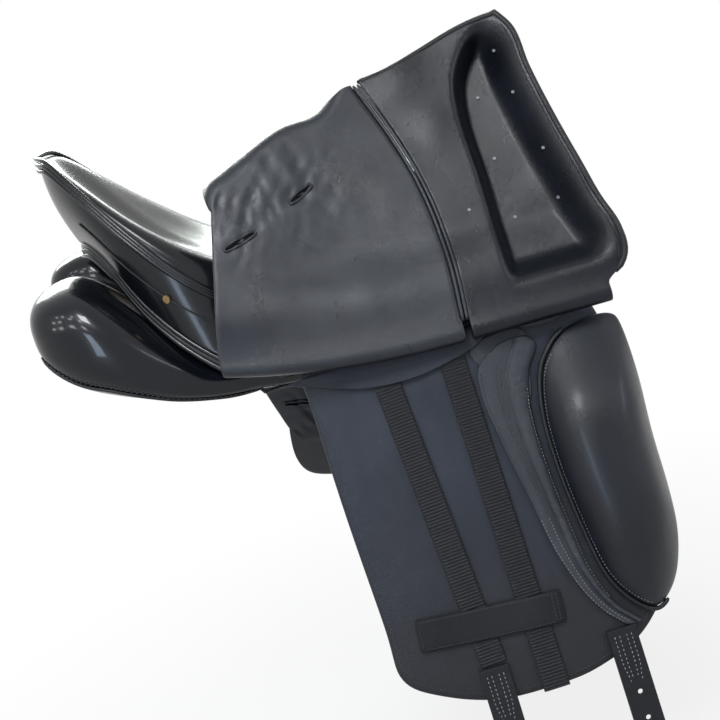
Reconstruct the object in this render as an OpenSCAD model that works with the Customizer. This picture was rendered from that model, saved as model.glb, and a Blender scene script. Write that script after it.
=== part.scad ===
// English saddle, dressage pattern. Millimetres.
// +X is forward, +Y is the near (left) side, +Z is up.
// The origin lies on the mid-plane, under the seat, where the panels bear.
// The off (right) flap is stored folded up over the seat; the near flap hangs.

/* [Seat] */
// Half length of the seat from cantle rim to pommel
seat_half_l = 217; // [200:1:240]
// Widest half width factor of the seat
seat_wide = 1.0; // [0.85:0.01:1.15]
// Height of the cantle rim above the bearing level
cantle_z = 222; // [195:1:240]
// Depth of seat foam under the cover
foam_t = 20; // [12:1:26]
// Thickness of the seat leather
cover_t = 2.0; // [1.4:0.1:3]

/* [Panels] */
// Half width of the gullet channel between the panels
channel_half = 34; // [28:1:44]
// Half height of the rear panel cushion
panel_h = 47; // [38:1:56]

/* [Sweat flap and blocks] */
// Distance of the sweat flap from the mid-plane at the bearing level
side_y = 150; // [140:1:165]
// Splay of the sweat flap from vertical
splay = 16; // [10:1:22]
// Thickness of the sweat flap
sweat_t = 4; // [3:0.5:6]
// Height of the thigh block above the sweat flap
block_h = 44; // [35:1:52]
// Width of a girth web
web_w = 25; // [22:1:30]

/* [Flap] */
// Length of the flap from its fold to its bottom edge
flap_l = 302; // [280:1:330]
// Thickness of the flap leather
flap_t = 3.2; // [2.5:0.1:4.5]
// Inward lean of the raised flap
flap_lean = 28; // [15:1:32]
// Depth of the hollow that clears the thigh block
hollow_d = 30; // [22:1:38]
// Angle that the corner of the raised flap folds over the seat
tail_fold = 74; // [30:1:80]

/* [Furniture] */
// Radius of the stirrup bar's rod
bar_r = 5; // [4:0.5:6]
// Radius of a dee's wire
dee_r = 2; // [1.5:0.25:3]
// Radius of a billet hole
hole_r = 2.5; // [2:0.25:3.5]

/* [Display] */
// Sub-part to draw

/* [Hidden] */
$fn = 48;
gap = 0.3;
steps = 40;
seat_cx = -11;
bend_r = 700;
bend_x = 118;
roll_r = 9;
raise = 156 + flap_lean;

/* Colours */
leather = [0.05, 0.055, 0.065];
gloss = [0.07, 0.08, 0.10];
web_black = [0.03, 0.03, 0.035];
steel = [0.72, 0.72, 0.74];
brass = [0.75, 0.58, 0.28];
timber = [0.72, 0.58, 0.40];
foam = [0.80, 0.78, 0.70];
wool = [0.85, 0.82, 0.75];
jute = [0.62, 0.55, 0.42];

/* Smooth curve through a short list of [x, value] pairs */
function seg(t, k, i = 0) = (i >= len(k) - 2 || t < k[i + 1][0]) ? i : seg(t, k, i + 1);
function slope(k, i) = (k[i + 1][1] - k[i][1]) / (k[i + 1][0] - k[i][0]);
function grad(k, i) =
  i == 0 ? slope(k, 0) : i == len(k) - 1 ? slope(k, i - 1) : (slope(k, i - 1) + slope(k, i)) / 2;
function hermite(u, a, b, ga, gb) =
  (2 * u * u * u - 3 * u * u + 1) * a + (u * u * u - 2 * u * u + u) * ga
  + (3 * u * u - 2 * u * u * u) * b + (u * u * u - u * u) * gb;
function curve(t, k) =
  let (c = min(max(t, k[0][0]), k[len(k) - 1][0]), i = seg(c, k), d = k[i + 1][0] - k[i][0])
  hermite((c - k[i][0]) / d, k[i][1], k[i + 1][1], grad(k, i) * d, grad(k, i + 1) * d);
function mix(a, b, u) = a + (b - a) * u;

/* Seat surface. c is the cosine of the angle round the rim: -1 cantle, +1 pommel. */
seat_f = [[-1, 128], [-0.8, 140], [-0.5, 142], [-0.15, 112], [0.2, 88], [0.6, 80], [0.85, 84], [1, 88]];
rim_k = [[-1, 6], [-0.95, 3], [-0.85, -24], [-0.7, -66], [-0.5, -115], [-0.35, -142], [-0.2, -156],
         [0, -163], [0.3, -156], [0.6, -128], [0.85, -92], [1, -78]];
dip_k = [[-228, 4], [-208, -36], [-180, -78], [-150, -112], [-110, -140], [-60, -159], [-10, -168],
         [50, -163], [100, -142], [155, -106], [206, -78]];
drop_k = [[-1, 102], [-0.85, 88], [-0.7, 92], [-0.5, 90], [-0.35, 86], [-0.2, 72], [0, 50],
          [0.3, 52], [0.6, 64], [0.85, 80], [1, 84]];
tuck_k = [[-1, 12], [-0.85, 8], [-0.7, -2], [-0.5, -14], [-0.35, -25], [-0.2, -27], [0, -20],
          [0.3, -14], [0.6, -6], [0.85, 2], [1, 8]];

rim_roll = 12;
rim_power = 2.5;
function seat_y(c) = seat_wide * curve(c, seat_f);
function rim_z(c) = cantle_z + curve(c, rim_k);
function dip_z(x) = cantle_z + curve(x, dip_k);
function seat_x(c) = seat_cx + seat_half_l * c;
function seat_pt(a, f, down = 0) =
  let (c = cos(a), x = seat_x(f * c), roll = max(0, f - 0.8) / 0.2)
  [x, seat_y(f * c) * f * sin(a),
   dip_z(x) + (rim_z(c) + rim_roll - dip_z(seat_x(c))) * pow(f, rim_power) - rim_roll * roll * roll - down];
/* Side wall of the seat: k runs 0 at the rim to 1 at the hem, out is an outward offset. */
function wall_pt(a, k, out = 0) =
  let (c = cos(a), in = curve(c, tuck_k) * k * k - 4 * sin(180 * k) - out,
       n = [cos(a), 1.3 * sin(a)], u = n / norm(n))
  [seat_x(c) - in * u[0], seat_y(c) * sin(a) - in * u[1], rim_z(c) - k * curve(c, drop_k)];

/* Closed solids from rows of points */
module sheet(a, b) {
  m = len(a);
  n = len(a[0]);
  o = m * n;
  pts = concat([for (r = a) for (p = r) p], [for (r = b) for (p = r) p]);
  faces = concat(
    [for (i = [0:m - 2]) for (j = [0:n - 2]) [i * n + j, i * n + j + 1, (i + 1) * n + j]],
    [for (i = [0:m - 2]) for (j = [0:n - 2]) [i * n + j + 1, (i + 1) * n + j + 1, (i + 1) * n + j]],
    [for (i = [0:m - 2]) for (j = [0:n - 2]) [o + i * n + j, o + (i + 1) * n + j, o + i * n + j + 1]],
    [for (i = [0:m - 2]) for (j = [0:n - 2])
      [o + i * n + j + 1, o + (i + 1) * n + j, o + (i + 1) * n + j + 1]],
    [for (j = [0:n - 2]) [j, o + j, j + 1]],
    [for (j = [0:n - 2]) [j + 1, o + j, o + j + 1]],
    [for (j = [0:n - 2]) let (r = (m - 1) * n) [r + j, r + j + 1, o + r + j]],
    [for (j = [0:n - 2]) let (r = (m - 1) * n) [r + j + 1, o + r + j + 1, o + r + j]],
    [for (i = [0:m - 2]) [i * n, (i + 1) * n, o + i * n]],
    [for (i = [0:m - 2]) [(i + 1) * n, o + (i + 1) * n, o + i * n]],
    [for (i = [0:m - 2]) let (e = n - 1) [i * n + e, o + i * n + e, (i + 1) * n + e]],
    [for (i = [0:m - 2]) let (e = n - 1) [(i + 1) * n + e, o + i * n + e, o + (i + 1) * n + e]]);
  polyhedron(points = pts, faces = faces);
}

module loft(rows) {
  m = len(rows);
  n = len(rows[0]);
  pts = concat([for (r = rows) for (p = r) p],
    [[for (k = [0:2]) mean([for (p = rows[0]) p[k]])]],
    [[for (k = [0:2]) mean([for (p = rows[m - 1]) p[k]])]]);
  faces = concat(
    [for (i = [0:m - 2]) for (j = [0:n - 1]) [i * n + j, (i + 1) * n + j, i * n + (j + 1) % n]],
    [for (i = [0:m - 2]) for (j = [0:n - 1])
      [i * n + (j + 1) % n, (i + 1) * n + j, (i + 1) * n + (j + 1) % n]],
    [for (j = [0:n - 1]) [j, (j + 1) % n, m * n]],
    [for (j = [0:n - 1]) [(m - 1) * n + (j + 1) % n, (m - 1) * n + j, m * n + 1]]);
  polyhedron(points = pts, faces = faces);
}
function mean(v, i = 0, s = 0) = i == len(v) ? s / len(v) : mean(v, i + 1, s + v[i]);

/* A closed band round the seat: rows are sections, one for each angle. */
module band(rows) {
  m = len(rows);
  n = len(rows[0]);
  polyhedron(
    points = [for (r = rows) for (p = r) p],
    faces = concat(
      [for (i = [0:m - 1]) for (j = [0:n - 1])
        [i * n + j, i * n + (j + 1) % n, ((i + 1) % m) * n + j]],
      [for (i = [0:m - 1]) for (j = [0:n - 1])
        [i * n + (j + 1) % n, ((i + 1) % m) * n + (j + 1) % n, ((i + 1) % m) * n + j]]));
}

module pair(side) {
  if (side > 0) mirror([0, 1, 0]) children();
  else children();
}

/* Seat and tree */
angles = [for (i = [0:steps - 1]) 360 * i / steps];
cap_f = [0.04, 0.2, 0.4, 0.6, 0.75, 0.88, 0.96, 1];
wall_k = [0.12, 0.35, 0.65, 1];
foam_f = [0.04, 0.2, 0.4, 0.6, 0.75, 0.88];
jute_f = [0.04, 0.2, 0.4, 0.6, 0.75];
tree_f = [0.6, 0.75, 0.88];
inset = 0.985;
jute_t = 1.5;

module seat_cover() {
  color(gloss)
  cap_solid(
    concat([for (f = cap_f) [for (a = angles) seat_pt(a, f)]],
           [for (k = wall_k) [for (a = angles) wall_pt(a, k)]]),
    concat([for (f = cap_f) [for (a = angles) seat_pt(a, f * inset, cover_t)]],
           [for (k = wall_k) [for (a = angles) wall_pt(a, k, -cover_t)]]));
}

/* Domed shell between an outer and an inner set of rings, closed over its middle */
module cap_solid(a, b) {
  m = len(a);
  n = len(a[0]);
  o = m * n;
  pts = concat([for (r = a) for (p = r) p], [for (r = b) for (p = r) p],
    [[for (k = [0:2]) mean([for (p = a[0]) p[k]])]],
    [[for (k = [0:2]) mean([for (p = b[0]) p[k]])]]);
  faces = concat(
    [for (j = [0:n - 1]) [2 * o, (j + 1) % n, j]],
    [for (j = [0:n - 1]) [2 * o + 1, o + j, o + (j + 1) % n]],
    [for (i = [0:m - 2]) for (j = [0:n - 1]) [i * n + j, i * n + (j + 1) % n, (i + 1) * n + j]],
    [for (i = [0:m - 2]) for (j = [0:n - 1])
      [i * n + (j + 1) % n, (i + 1) * n + (j + 1) % n, (i + 1) * n + j]],
    [for (i = [0:m - 2]) for (j = [0:n - 1])
      [o + i * n + j, o + (i + 1) * n + j, o + i * n + (j + 1) % n]],
    [for (i = [0:m - 2]) for (j = [0:n - 1])
      [o + i * n + (j + 1) % n, o + (i + 1) * n + j, o + (i + 1) * n + (j + 1) % n]],
    [for (j = [0:n - 1]) let (r = (m - 1) * n) [r + j, r + (j + 1) % n, o + r + j]],
    [for (j = [0:n - 1]) let (r = (m - 1) * n)
      [r + (j + 1) % n, o + r + (j + 1) % n, o + r + j]]);
  polyhedron(points = pts, faces = faces);
}

module seat_foam() {
  color(foam)
  cap_solid([for (f = foam_f) [for (a = angles) seat_pt(a, f * inset, cover_t + gap)]],
            [for (f = foam_f) [for (a = angles) seat_pt(a, f * inset, foam_t)]]);
}

module seat_webbing() {
  color(jute)
  cap_solid([for (f = jute_f) [for (a = angles) seat_pt(a, f * inset, foam_t + gap)]],
            [for (f = jute_f) [for (a = angles) seat_pt(a, f * inset, foam_t + gap + jute_t)]]);
}

tree_top = foam_t + jute_t + 2 * gap;
tree_t = 16;
module tree() {
  color(timber)
  band([for (a = angles) concat(
    [for (f = tree_f) seat_pt(a, f * inset, tree_top)],
    [for (f = [0.88, 0.75, 0.6]) seat_pt(a, f * inset, tree_top + tree_t)])]);
}

spring_y = 26;
module tree_springs() {
  u = [for (i = [0:12]) -0.8 + 1.56 * i / 12];
  color(steel)
  for (s = [-1, 1])
    sheet([for (t = u) [for (v = [-8, 8]) spring_pt(t, s * spring_y + v, 0)]],
          [for (t = u) [for (v = [-8, 8]) spring_pt(t, s * spring_y + v, 2)]]);
}
function spring_pt(t, y, down) =
  let (x = seat_x(t), r = sqrt(t * t + pow(y / seat_y(t), 2)), c = t / r)
  [x, y, dip_z(x) + (rim_z(c) + rim_roll - dip_z(seat_x(c))) * pow(r, rim_power)
   - tree_top - tree_t - 6 * gap - down];

module head_plate() {
  top = seat_pt(0, 0.8, tree_top + tree_t)[2] - 1;
  color(steel)
  translate([seat_x(0.8), 0, 0])
  rotate([90, 0, 90])
  linear_extrude(3)
  difference() {
    polygon([[-40, 26], [-36, 58], [-16, top], [16, top], [36, 58], [40, 26], [29, 26],
             [25, 48], [0, 58], [-25, 48], [-29, 26]]);
    for (s = [-1, 1]) translate([s * 34, 36]) circle(2);
  }
}

piping_r = 2;
module seat_piping() {
  color(gloss)
  for (k = [0.03, 0.095, 0.16])
    tube([for (i = [0:26]) wall_pt(116 + 128 * i / 26, k, piping_r + 0.2)], piping_r, 6);
}

/* Round cord along a path */
module tube(path, r, n) {
  m = len(path);
  loft([for (i = [0:m - 1])
    let (d = path[min(i + 1, m - 1)] - path[max(i - 1, 0)], t = d / norm(d),
         s = cross(t, [0, 0, 1]), e = s / norm(s), g = cross(e, t))
    [for (j = [0:n - 1]) path[i] + r * (cos(360 * j / n) * e + sin(360 * j / n) * g)]]);
}

welt_r = 2.6;
module panel_welts() {
  color(leather)
  for (k = [0:2])
    tube_ring([for (a = angles) wall_pt(a, 1, -3 + 1.2 * k) - [0, 0, 3.2 + 5.4 * k]], welt_r, 6);
}
module tube_ring(path, r, n) {
  m = len(path);
  band([for (i = [0:m - 1])
    let (d = path[(i + 1) % m] - path[(i + m - 1) % m], t = d / norm(d),
         s = cross(t, [0, 0, 1]), e = s / norm(s), g = cross(e, t))
    [for (j = [0:n - 1]) path[i] + r * (cos(360 * j / n) * e + sin(360 * j / n) * g)]]);
}

/* Panels: one wool-stuffed cushion a side. Values follow x. */
pan_w = [[-272, 54], [-200, 59], [-120, 52], [-60, 46], [0, 52], [50, 56], [90, 52], [130, 46], [200, 40]];
pan_z = [[-272, 64], [-240, 55], [-215, 48], [-185, 27], [-157, 5], [-126, -13], [-100, -21], [-40, -24],
         [40, -25], [118, -18], [200, -8]];
pan_h = [[-272, 54], [-240, 58], [-215, 57], [-185, 46], [-157, 33], [-126, 22], [-100, 19], [-40, 19],
         [40, 19], [118, 21], [200, 22]];
pan_x = [-275, -270, -258, -238, -205, -165, -120, -70, -20, 30, 80, 130, 170, 195, 206, 210];
function end_f(x) = pow(max(0, 1 - pow(abs(x + 32.5) / 243, 7)), 0.4);
function round_pow(v) = abs(v) < 0.001 ? 0 : sign(v) * pow(abs(v), 0.75);
function panel_ring(x, shrink) = [for (j = [0:17]) let (
    q = 20 * j, e = end_f(x),
    v = (curve(x, pan_w) * e - shrink) * round_pow(cos(q)),
    h = (curve(x, pan_h) * panel_h / 47 * e - shrink) * round_pow(sin(q)))
  [x, -channel_half - 6 - curve(x, pan_w) + v, curve(x, pan_z) + h + (x > -80 ? 0.3 : 0.18) * v]];

module panel_at(side) {
  color(gloss) pair(side)
  difference() {
    loft([for (x = pan_x) panel_ring(x, 0)]);
    loft([for (i = [2:len(pan_x) - 3]) panel_ring(pan_x[i], 3)]);
  }
}
module flock_at(side) {
  color(wool) pair(side)
  loft([for (i = [2:len(pan_x) - 3]) panel_ring(mix(pan_x[i], -32, 0.005), 3.4)]);
}

/* Side assembly: x forward, y up the sweat flap, z out from the horse */
module side_frame(side) {
  pair(side) translate([0, -side_y, 0]) rotate([90 - splay, 0, 0]) children();
}
function bend(x) = sqrt(bend_r * bend_r - pow(x - bend_x, 2)) - bend_r;
module skin(low, high) {
  translate([bend_x, 80, -bend_r]) rotate([90, 0, 0])
  difference() {
    cylinder(r = bend_r + high, h = 560, $fn = 720);
    translate([0, 0, -1]) cylinder(r = bend_r + low, h = 562, $fn = 720);
  }
}
module on_skin(low, high) {
  intersection() {
    skin(low, high);
    translate([0, 0, -70]) linear_extrude(150) children();
  }
}
function ring_pt(p, i, u) =
  let (m = len(p), a = p[(i + m - 1) % m], b = p[i], c = p[(i + 1) % m], d = p[(i + 2) % m])
  0.5 * (2 * b + (c - a) * u + (2 * a - 5 * b + 4 * c - d) * u * u
         + (3 * b - a - 3 * c + d) * u * u * u);
function smooth_loop(p, n = 2) = [for (i = [0:len(p) - 1]) for (j = [0:n - 1]) ring_pt(p, i, j / n)];

sweat_k = [[-40, -38], [-40, -70], [-39, -177], [-35, -290], [-34, -340], [-3, -364], [49, -382],
           [110, -384], [147, -380], [191, -365], [224, -336], [248, -296], [258, -230],
           [256, -140], [248, -70], [236, -36], [215, -33], [100, -33], [-20, -33]];
block_k = [[192, -80], [211, -68], [236, -63], [258, -66], [265, -80], [266, -127], [262, -184],
           [261, -240], [257, -280], [245, -315], [228, -336], [210, -340], [188, -320],
           [170, -292], [160, -241], [156, -190], [160, -142], [172, -100]];
knee_l = [[62, 148], [76, 124], [100, 117], [150, 121], [211, 131], [272, 141], [328, 164], [350, 184]];
knee_r = [[62, 172], [72, 180], [94, 161], [125, 148], [190, 144], [246, 148], [298, 158], [330, 176],
          [350, 196]];
cover_k = [[-49, -40], [-49, -44], [-16, -57], [18, -67], [66, -70], [118, -61], [138, -50],
           [138, -40]];
pocket_k = [[156, -40], [160, -47], [180, -57], [206, -57], [228, -48], [232, -40]];
block_c = [218, -202];

module sweat_flap_at(side) {
  color(leather) side_frame(side) on_skin(0, sweat_t) polygon(smooth_loop(sweat_k));
}
module web_cover_at(side) {
  color(leather) side_frame(side)
  on_skin(sweat_t + web_t + 2 * gap, sweat_t + web_t + 2 * gap + strap_t) polygon(smooth_loop(cover_k));
}
web_t = 2.4;
strap_t = 2.4;
module strap2d(a, b, w) {
  d = b - a;
  u = d / norm(d);
  n = [-u[1], u[0]] * w / 2;
  polygon([a + n, b + n, b - n, a - n]);
}
rear_web = [[33, -35], [53, -347]];
front_web = [[100, -35], [103, -386]];
keeper_k = [[-8, -304], [131, -314]];
keeper_w = 31;
module girth_webs_at(side) {
  color(web_black) side_frame(side) {
    on_skin(sweat_t + gap, sweat_t + gap + web_t) strap2d(rear_web[0], rear_web[1], web_w);
    on_skin(sweat_t + gap, sweat_t + gap + web_t) strap2d(front_web[0], front_web[1], web_w);
  }
}
module web_keeper_at(side) {
  low = sweat_t + web_t + 2 * gap;
  d = keeper_k[1] - keeper_k[0];
  color(leather) side_frame(side) {
    on_skin(low, low + strap_t) strap2d(keeper_k[0], keeper_k[1], keeper_w);
    for (e = [0.035, 0.965])
      on_skin(sweat_t, low) translate(mix(keeper_k[0], keeper_k[1], e))
        rotate(atan2(d[1], d[0])) square([9, keeper_w - 1], center = true);
  }
}
function block_low(y) = 0.5 + 0.5 * soft((-y - 62) / 90);
function pad_ring(k, c, f, h, base) =
  [for (p = smooth_loop(k)) let (q = c + (p - c) * f)
    [q[0], q[1], bend(q[0]) + base + h * block_low(q[1])]];
module block_at(side) {
  b = sweat_t + 2 * gap;
  color(gloss) side_frame(side)
  loft([pad_ring(block_k, block_c, 0.25, 0, b), pad_ring(block_k, block_c, 0.65, 0, b),
        pad_ring(block_k, block_c, 1, 0, b), pad_ring(block_k, block_c, 1, 8, b),
        pad_ring(block_k, block_c, 0.88, block_h * 0.42, b),
        pad_ring(block_k, block_c, 0.66, block_h * 0.76, b),
        pad_ring(block_k, block_c, 0.4, block_h * 0.95, b),
        pad_ring(block_k, block_c, 0.15, block_h, b)]);
}
module block_piping_at(side) {
  b = sweat_t + gap + 7;
  color(leather) side_frame(side)
  tube([for (i = [20:35]) let (p = ring_pt(block_k, floor(i / 2) % 18, (i % 2) / 2),
          q = block_c + (p - block_c) * 1.03) [q[0] - 1, q[1], bend(q[0]) + b]], 2.2, 6);
}
function knee_pt(i, j, top) =
  let (y = mix(62, 350, i), x = mix(curve(y, knee_l), curve(y, knee_r), j))
  [x, -y, bend(x) + sweat_t + gap + (top ? 3 + 5 * sin(180 * j) : 0)];
module knee_pad_at(side) {
  color(leather) side_frame(side)
  sheet([for (i = [0:16]) [for (j = [0:5]) knee_pt(i / 16, j / 5, true)]],
        [for (i = [0:16]) [for (j = [0:5]) knee_pt(i / 16, j / 5, false)]]);
}
module point_pocket_at(side) {
  color(leather) side_frame(side)
  on_skin(sweat_t + gap, sweat_t + gap + 5) polygon(smooth_loop(pocket_k));
}

/* Flap frame: x along the fold, y up the raised flap, z out to its underside */
fold_a = [-115, -184, -30];
fold_yaw = 0.6;
fold_pitch = 1.6;
module flap_frame(side, angle) {
  pair(side) translate(fold_a) rotate([0, fold_pitch, fold_yaw])
  rotate([90 - flap_lean + angle, 0, 0]) translate([115, 0, 0]) children();
}
function soft(u) = let (v = min(1, max(0, u))) v * v * (3 - 2 * v);
hollow_k = [[0, 168], [140, 172], [212, 172], [250, 180], [278, 200], [302, 232]];
front_k = [[0, 260], [0.03, 274], [0.07, 283], [0.15, 284], [0.26, 276], [0.42, 267], [0.6, 258],
           [0.78, 251], [0.93, 248], [1, 238]];
function hollow(x, h, edge) =
  hollow_d * soft((x - curve(h, hollow_k)) / 16) * soft((edge - 4 - x) / 32) * soft((h - 26) / 34)
  * soft((flap_l - 6 - h) / 26);
function flap_z(x, h) = pow(x - 90, 2) / 1800 * soft(h / 130);
/* Rear part of the flap: u runs forward along the fold, v from the fold to the crease */
function rear_pt(u, v, off) =
  let (k = flap_l / 302, x0 = mix(-109, 118, u), h0 = roll_r + gap + 15 * pow(1 - u, 2),
       x = mix(x0, mix(-79, 84, u), v) + 18 * sin(180 * v) * u, h = mix(h0, mix(187, 268, u) * k, v),
       chord = mix(flap_z(-79, flap_l), flap_z(84, flap_l), u))
  [x, h, mix(flap_z(x, h), chord, v * v * v) + off];
/* Front part: u runs from the welt to the front edge, v from the fold to the bottom edge */
function front_pt(u, v, off) =
  let (k = flap_l / 302, x0 = mix(118, 84, v) + 18 * sin(180 * v) + 6.5, x1 = curve(v, front_k),
       x = mix(x0, x1, u), h = mix(roll_r + gap, mix(271, 297, soft(u * 1.1)) * k, v))
  [x, h, flap_z(x, h) - hollow(x, h, x1) + off];
ht = flap_t / 2;
module flap_rear(side, angle) {
  color(leather) flap_frame(side, angle)
  sheet([for (i = [0:8]) [for (j = [0:8]) rear_pt(i / 8, j / 8, ht)]],
        [for (i = [0:8]) [for (j = [0:8]) rear_pt(i / 8, j / 8, -ht)]]);
}
module flap_front_at(side, angle) {
  color(leather) flap_frame(side, angle)
  sheet([for (i = [0:20]) [for (j = [0:18]) front_pt(i / 20, j / 18, ht)]],
        [for (i = [0:20]) [for (j = [0:18]) front_pt(i / 20, j / 18, -ht)]]);
}
module flap_welt_at(side, angle) {
  color(leather) flap_frame(side, angle)
  for (s = [0, 1])
    tube([for (j = [0:12]) let (v = mix(0.02, 0.98, j / 12), p = rear_pt(1, v, 0))
      [p[0] + 1.6 + 3.3 * s, p[1], flap_z(p[0], p[1])]], 1.5, 6);
}
/* Tacks stand on crossings of the front panel's own grid: [along, up] */
tack_k = [[17, 16], [13, 14], [17, 13], [11, 10], [17, 9], [10, 6], [16, 6],
         [4, 7], [16, 3], [10, 2], [6, 3], [14, 1], [16, 1], [4, 1]];
function front_slope(i, j, di, dj) =
  let (d = front_pt((i + di) / 20, (j + dj) / 18, 0) - front_pt(i / 20, j / 18, 0))
  max(0, d[2]) / norm([d[0], d[1]]);
function tack_rise(i, j) = 2 * max([for (a = [-1:1]) for (b = [-1:1])
  if (a != 0 || b != 0) front_slope(i, j, a, b)]);
tack_r = 1.6;
tack_t = 1;
module flap_tacks_at(side, angle) {
  color(steel) flap_frame(side, angle)
  for (t = tack_k)
    translate(front_pt(t[0] / 20, t[1] / 18, ht + gap + tack_rise(t[0], t[1])))
    cylinder(r = tack_r, h = tack_t);
}
/* Corner of the flap beyond its crease, folding about the crease line */
crease_a = rear_pt(0, 1, 0);
crease_b = rear_pt(1, 1, 0);
crease_d = (crease_b - crease_a) / norm(crease_b - crease_a);
crease_turn = atan2(crease_d[1], crease_d[0]);
crease_tip = asin(crease_d[2]);
module tail_frame(side, angle, fold) {
  flap_frame(side, angle)
  translate(crease_a) rotate([0, -crease_tip, crease_turn])
  translate([0, 2, 0]) rotate([-fold, 0, 0]) translate([0, -2, 0]) children();
}
crease_l = norm(crease_b - crease_a);
tail_k = [[0, 0], [0.06, 30], [0.18, 56], [0.34, 62], [0.56, 52], [0.8, 27], [1, 0]];
module flap_tail_at(side, angle, fold) {
  color(leather) tail_frame(side, angle, fold) {
    translate([0, 0, -ht]) linear_extrude(flap_t) polygon([for (p = tail_k) [p[0] * crease_l, p[1] + 2]]);
    translate([0, 2, 0]) rotate([0, 90, 0]) cylinder(r = ht, h = crease_l);
  }
}
fold_l = 330;
module flap_fold_at(side, angle) {
  color(leather) flap_frame(side, angle)
  translate([-62, 0, 0]) rotate([0, 90, 0])
  difference() {
    cylinder(r = roll_r, h = fold_l);
    translate([0, 0, -1]) cylinder(r = roll_r - flap_t, h = fold_l + 2);
  }
}
keeper_at_k = [[-75, 138], [5, 170]];
module keeper_strap_at(side, angle) {
  a = keeper_at_k[0];
  b = keeper_at_k[1];
  l = norm(b - a);
  z0 = flap_z(a[0], a[1]) - ht;
  tip = atan2(flap_z(b[0], b[1]) - ht - z0, l);
  color(leather) flap_frame(side, angle)
  translate([a[0], a[1], z0]) rotate(atan2(b[1] - a[1], b[0] - a[0])) rotate([0, -tip, 0])
  translate([0, 0, -12]) {
    linear_extrude(2.4) translate([-2, -11]) square([l + 4, 22]);
    for (e = [-2, l - 0.4]) translate([e, -11, 0]) cube([2.4, 22, 10.9]);
  }
}
skirt_l = 42;
skirt_t = 2.6;
module skirt_at(side, angle) {
  color(leather) flap_frame(side, angle)
  sheet([for (i = [0:8]) [for (j = [0:4]) skirt_pt(i / 8, j / 4, -ht - gap)]],
        [for (i = [0:8]) [for (j = [0:4]) skirt_pt(i / 8, j / 4, -ht - gap - skirt_t)]]);
}
function skirt_pt(u, v, off) =
  let (x = mix(-52, 160, u) + 12 * v * (1 - 2 * u),
       h = mix(roll_r + gap, skirt_l - 12 * pow(2 * u - 1, 4), v))
  [x, h, flap_z(x, h) + off];

/* Leather from the tree rail down to the fold */
function fold_pt(x) =
  [x, fold_a[1] + (x - fold_a[0]) * tan(fold_yaw), fold_a[2] - (x - fold_a[0]) * tan(fold_pitch)];
hang_t = 2.8;
function hang_pt(u, v, off) =
  let (xt = mix(-58, 150, u), xb = mix(-60, 185, u), a = -acos((xt - seat_cx) / seat_half_l),
       t = wall_pt(a, 0.8, 2.6),
       b = fold_pt(xb) + (roll_r + gap + 1.6) * [0, cos(20), sin(20)],
       p = mix(t, b, v))
  p + [0, 3 * sin(180 * v) - 0.6 * off, 0.8 * off];
module hanger_at(side) {
  color(leather) pair(side)
  difference() {
    sheet([for (i = [0:10]) [for (j = [0:5]) hang_pt(i / 10, j / 5, hang_t / 2)]],
          [for (i = [0:10]) [for (j = [0:5]) hang_pt(i / 10, j / 5, -hang_t / 2)]]);
    bar_frame(-1) translate([bar_l - 8 - gap, -2, -6 - gap]) cube([10 + 2 * gap, 40, 10 + 2 * gap]);
  }
}

/* Stirrup bars on the tree rails, with hinged catches */
bar_p = [34, -149, 6];
bar_l = 92;
pin_r = 1.5;
pin_at = [-4, 0, 0];
knuckle_r = 3.4;
module bar_frame(side) {
  pair(side) translate(bar_p) rotate([0, -2, 6]) children();
}
module stirrup_bars() {
  color(steel)
  for (side = [-1, 1])
    bar_frame(side) {
      rotate([0, 90, 0]) cylinder(r = bar_r, h = bar_l);
      hull() {
        translate(pin_at) rotate([90, 0, 0]) cylinder(r = knuckle_r, h = 3, center = true);
        translate([0, -1.5, -knuckle_r]) cube([1, 3, 2 * knuckle_r]);
      }
      translate(pin_at) rotate([90, 0, 0]) cylinder(r = pin_r, h = 10, center = true);
      translate([bar_l - 8, -2, -6]) cube([10, 26, 10]);
    }
}
module bar_catch_at(side) {
  color(steel) bar_frame(side)
  difference() {
    union() {
      for (y = [-3.3, 3.3])
        hull() {
          translate([-4, y, 0]) rotate([90, 0, 0]) cylinder(r = knuckle_r, h = 3, center = true);
          translate([-10, y - 1.5, -knuckle_r]) cube([1, 3, 2 * knuckle_r]);
        }
      translate([-15, -4.8, -knuckle_r]) cube([7, 9.6, 2 * knuckle_r]);
    }
    translate(pin_at) rotate([90, 0, 0]) cylinder(r = pin_r + 0.06, h = 12, center = true);
  }
}

/* Billets below the webs, with punched holes */
billet_t = 4;
billet_w = 28;
billet_l = 150;
billet_hole = 25;
rear_top = [51, -352];
point_top = [176, -352];
module billet_at(side, top, count) {
  color(leather) side_frame(side)
  translate([top[0], top[1], bend(mix(top[0], bend_x, 0.21)) + sweat_t + gap + billet_t / 2])
  difference() {
    union() {
      rotate([0, 90, 0]) translate([0, 0, -billet_w / 2]) cylinder(r = billet_t / 2, h = billet_w);
      translate([-billet_w / 2, -billet_l, -billet_t / 2]) cube([billet_w, billet_l, billet_t]);
      translate([0, -billet_l, -billet_t / 2]) cylinder(r = billet_w / 2, h = billet_t);
    }
    for (i = [0:count - 1]) translate([0, -60 - billet_hole * i, -5]) cylinder(r = hole_r, h = 10);
  }
}

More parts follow.
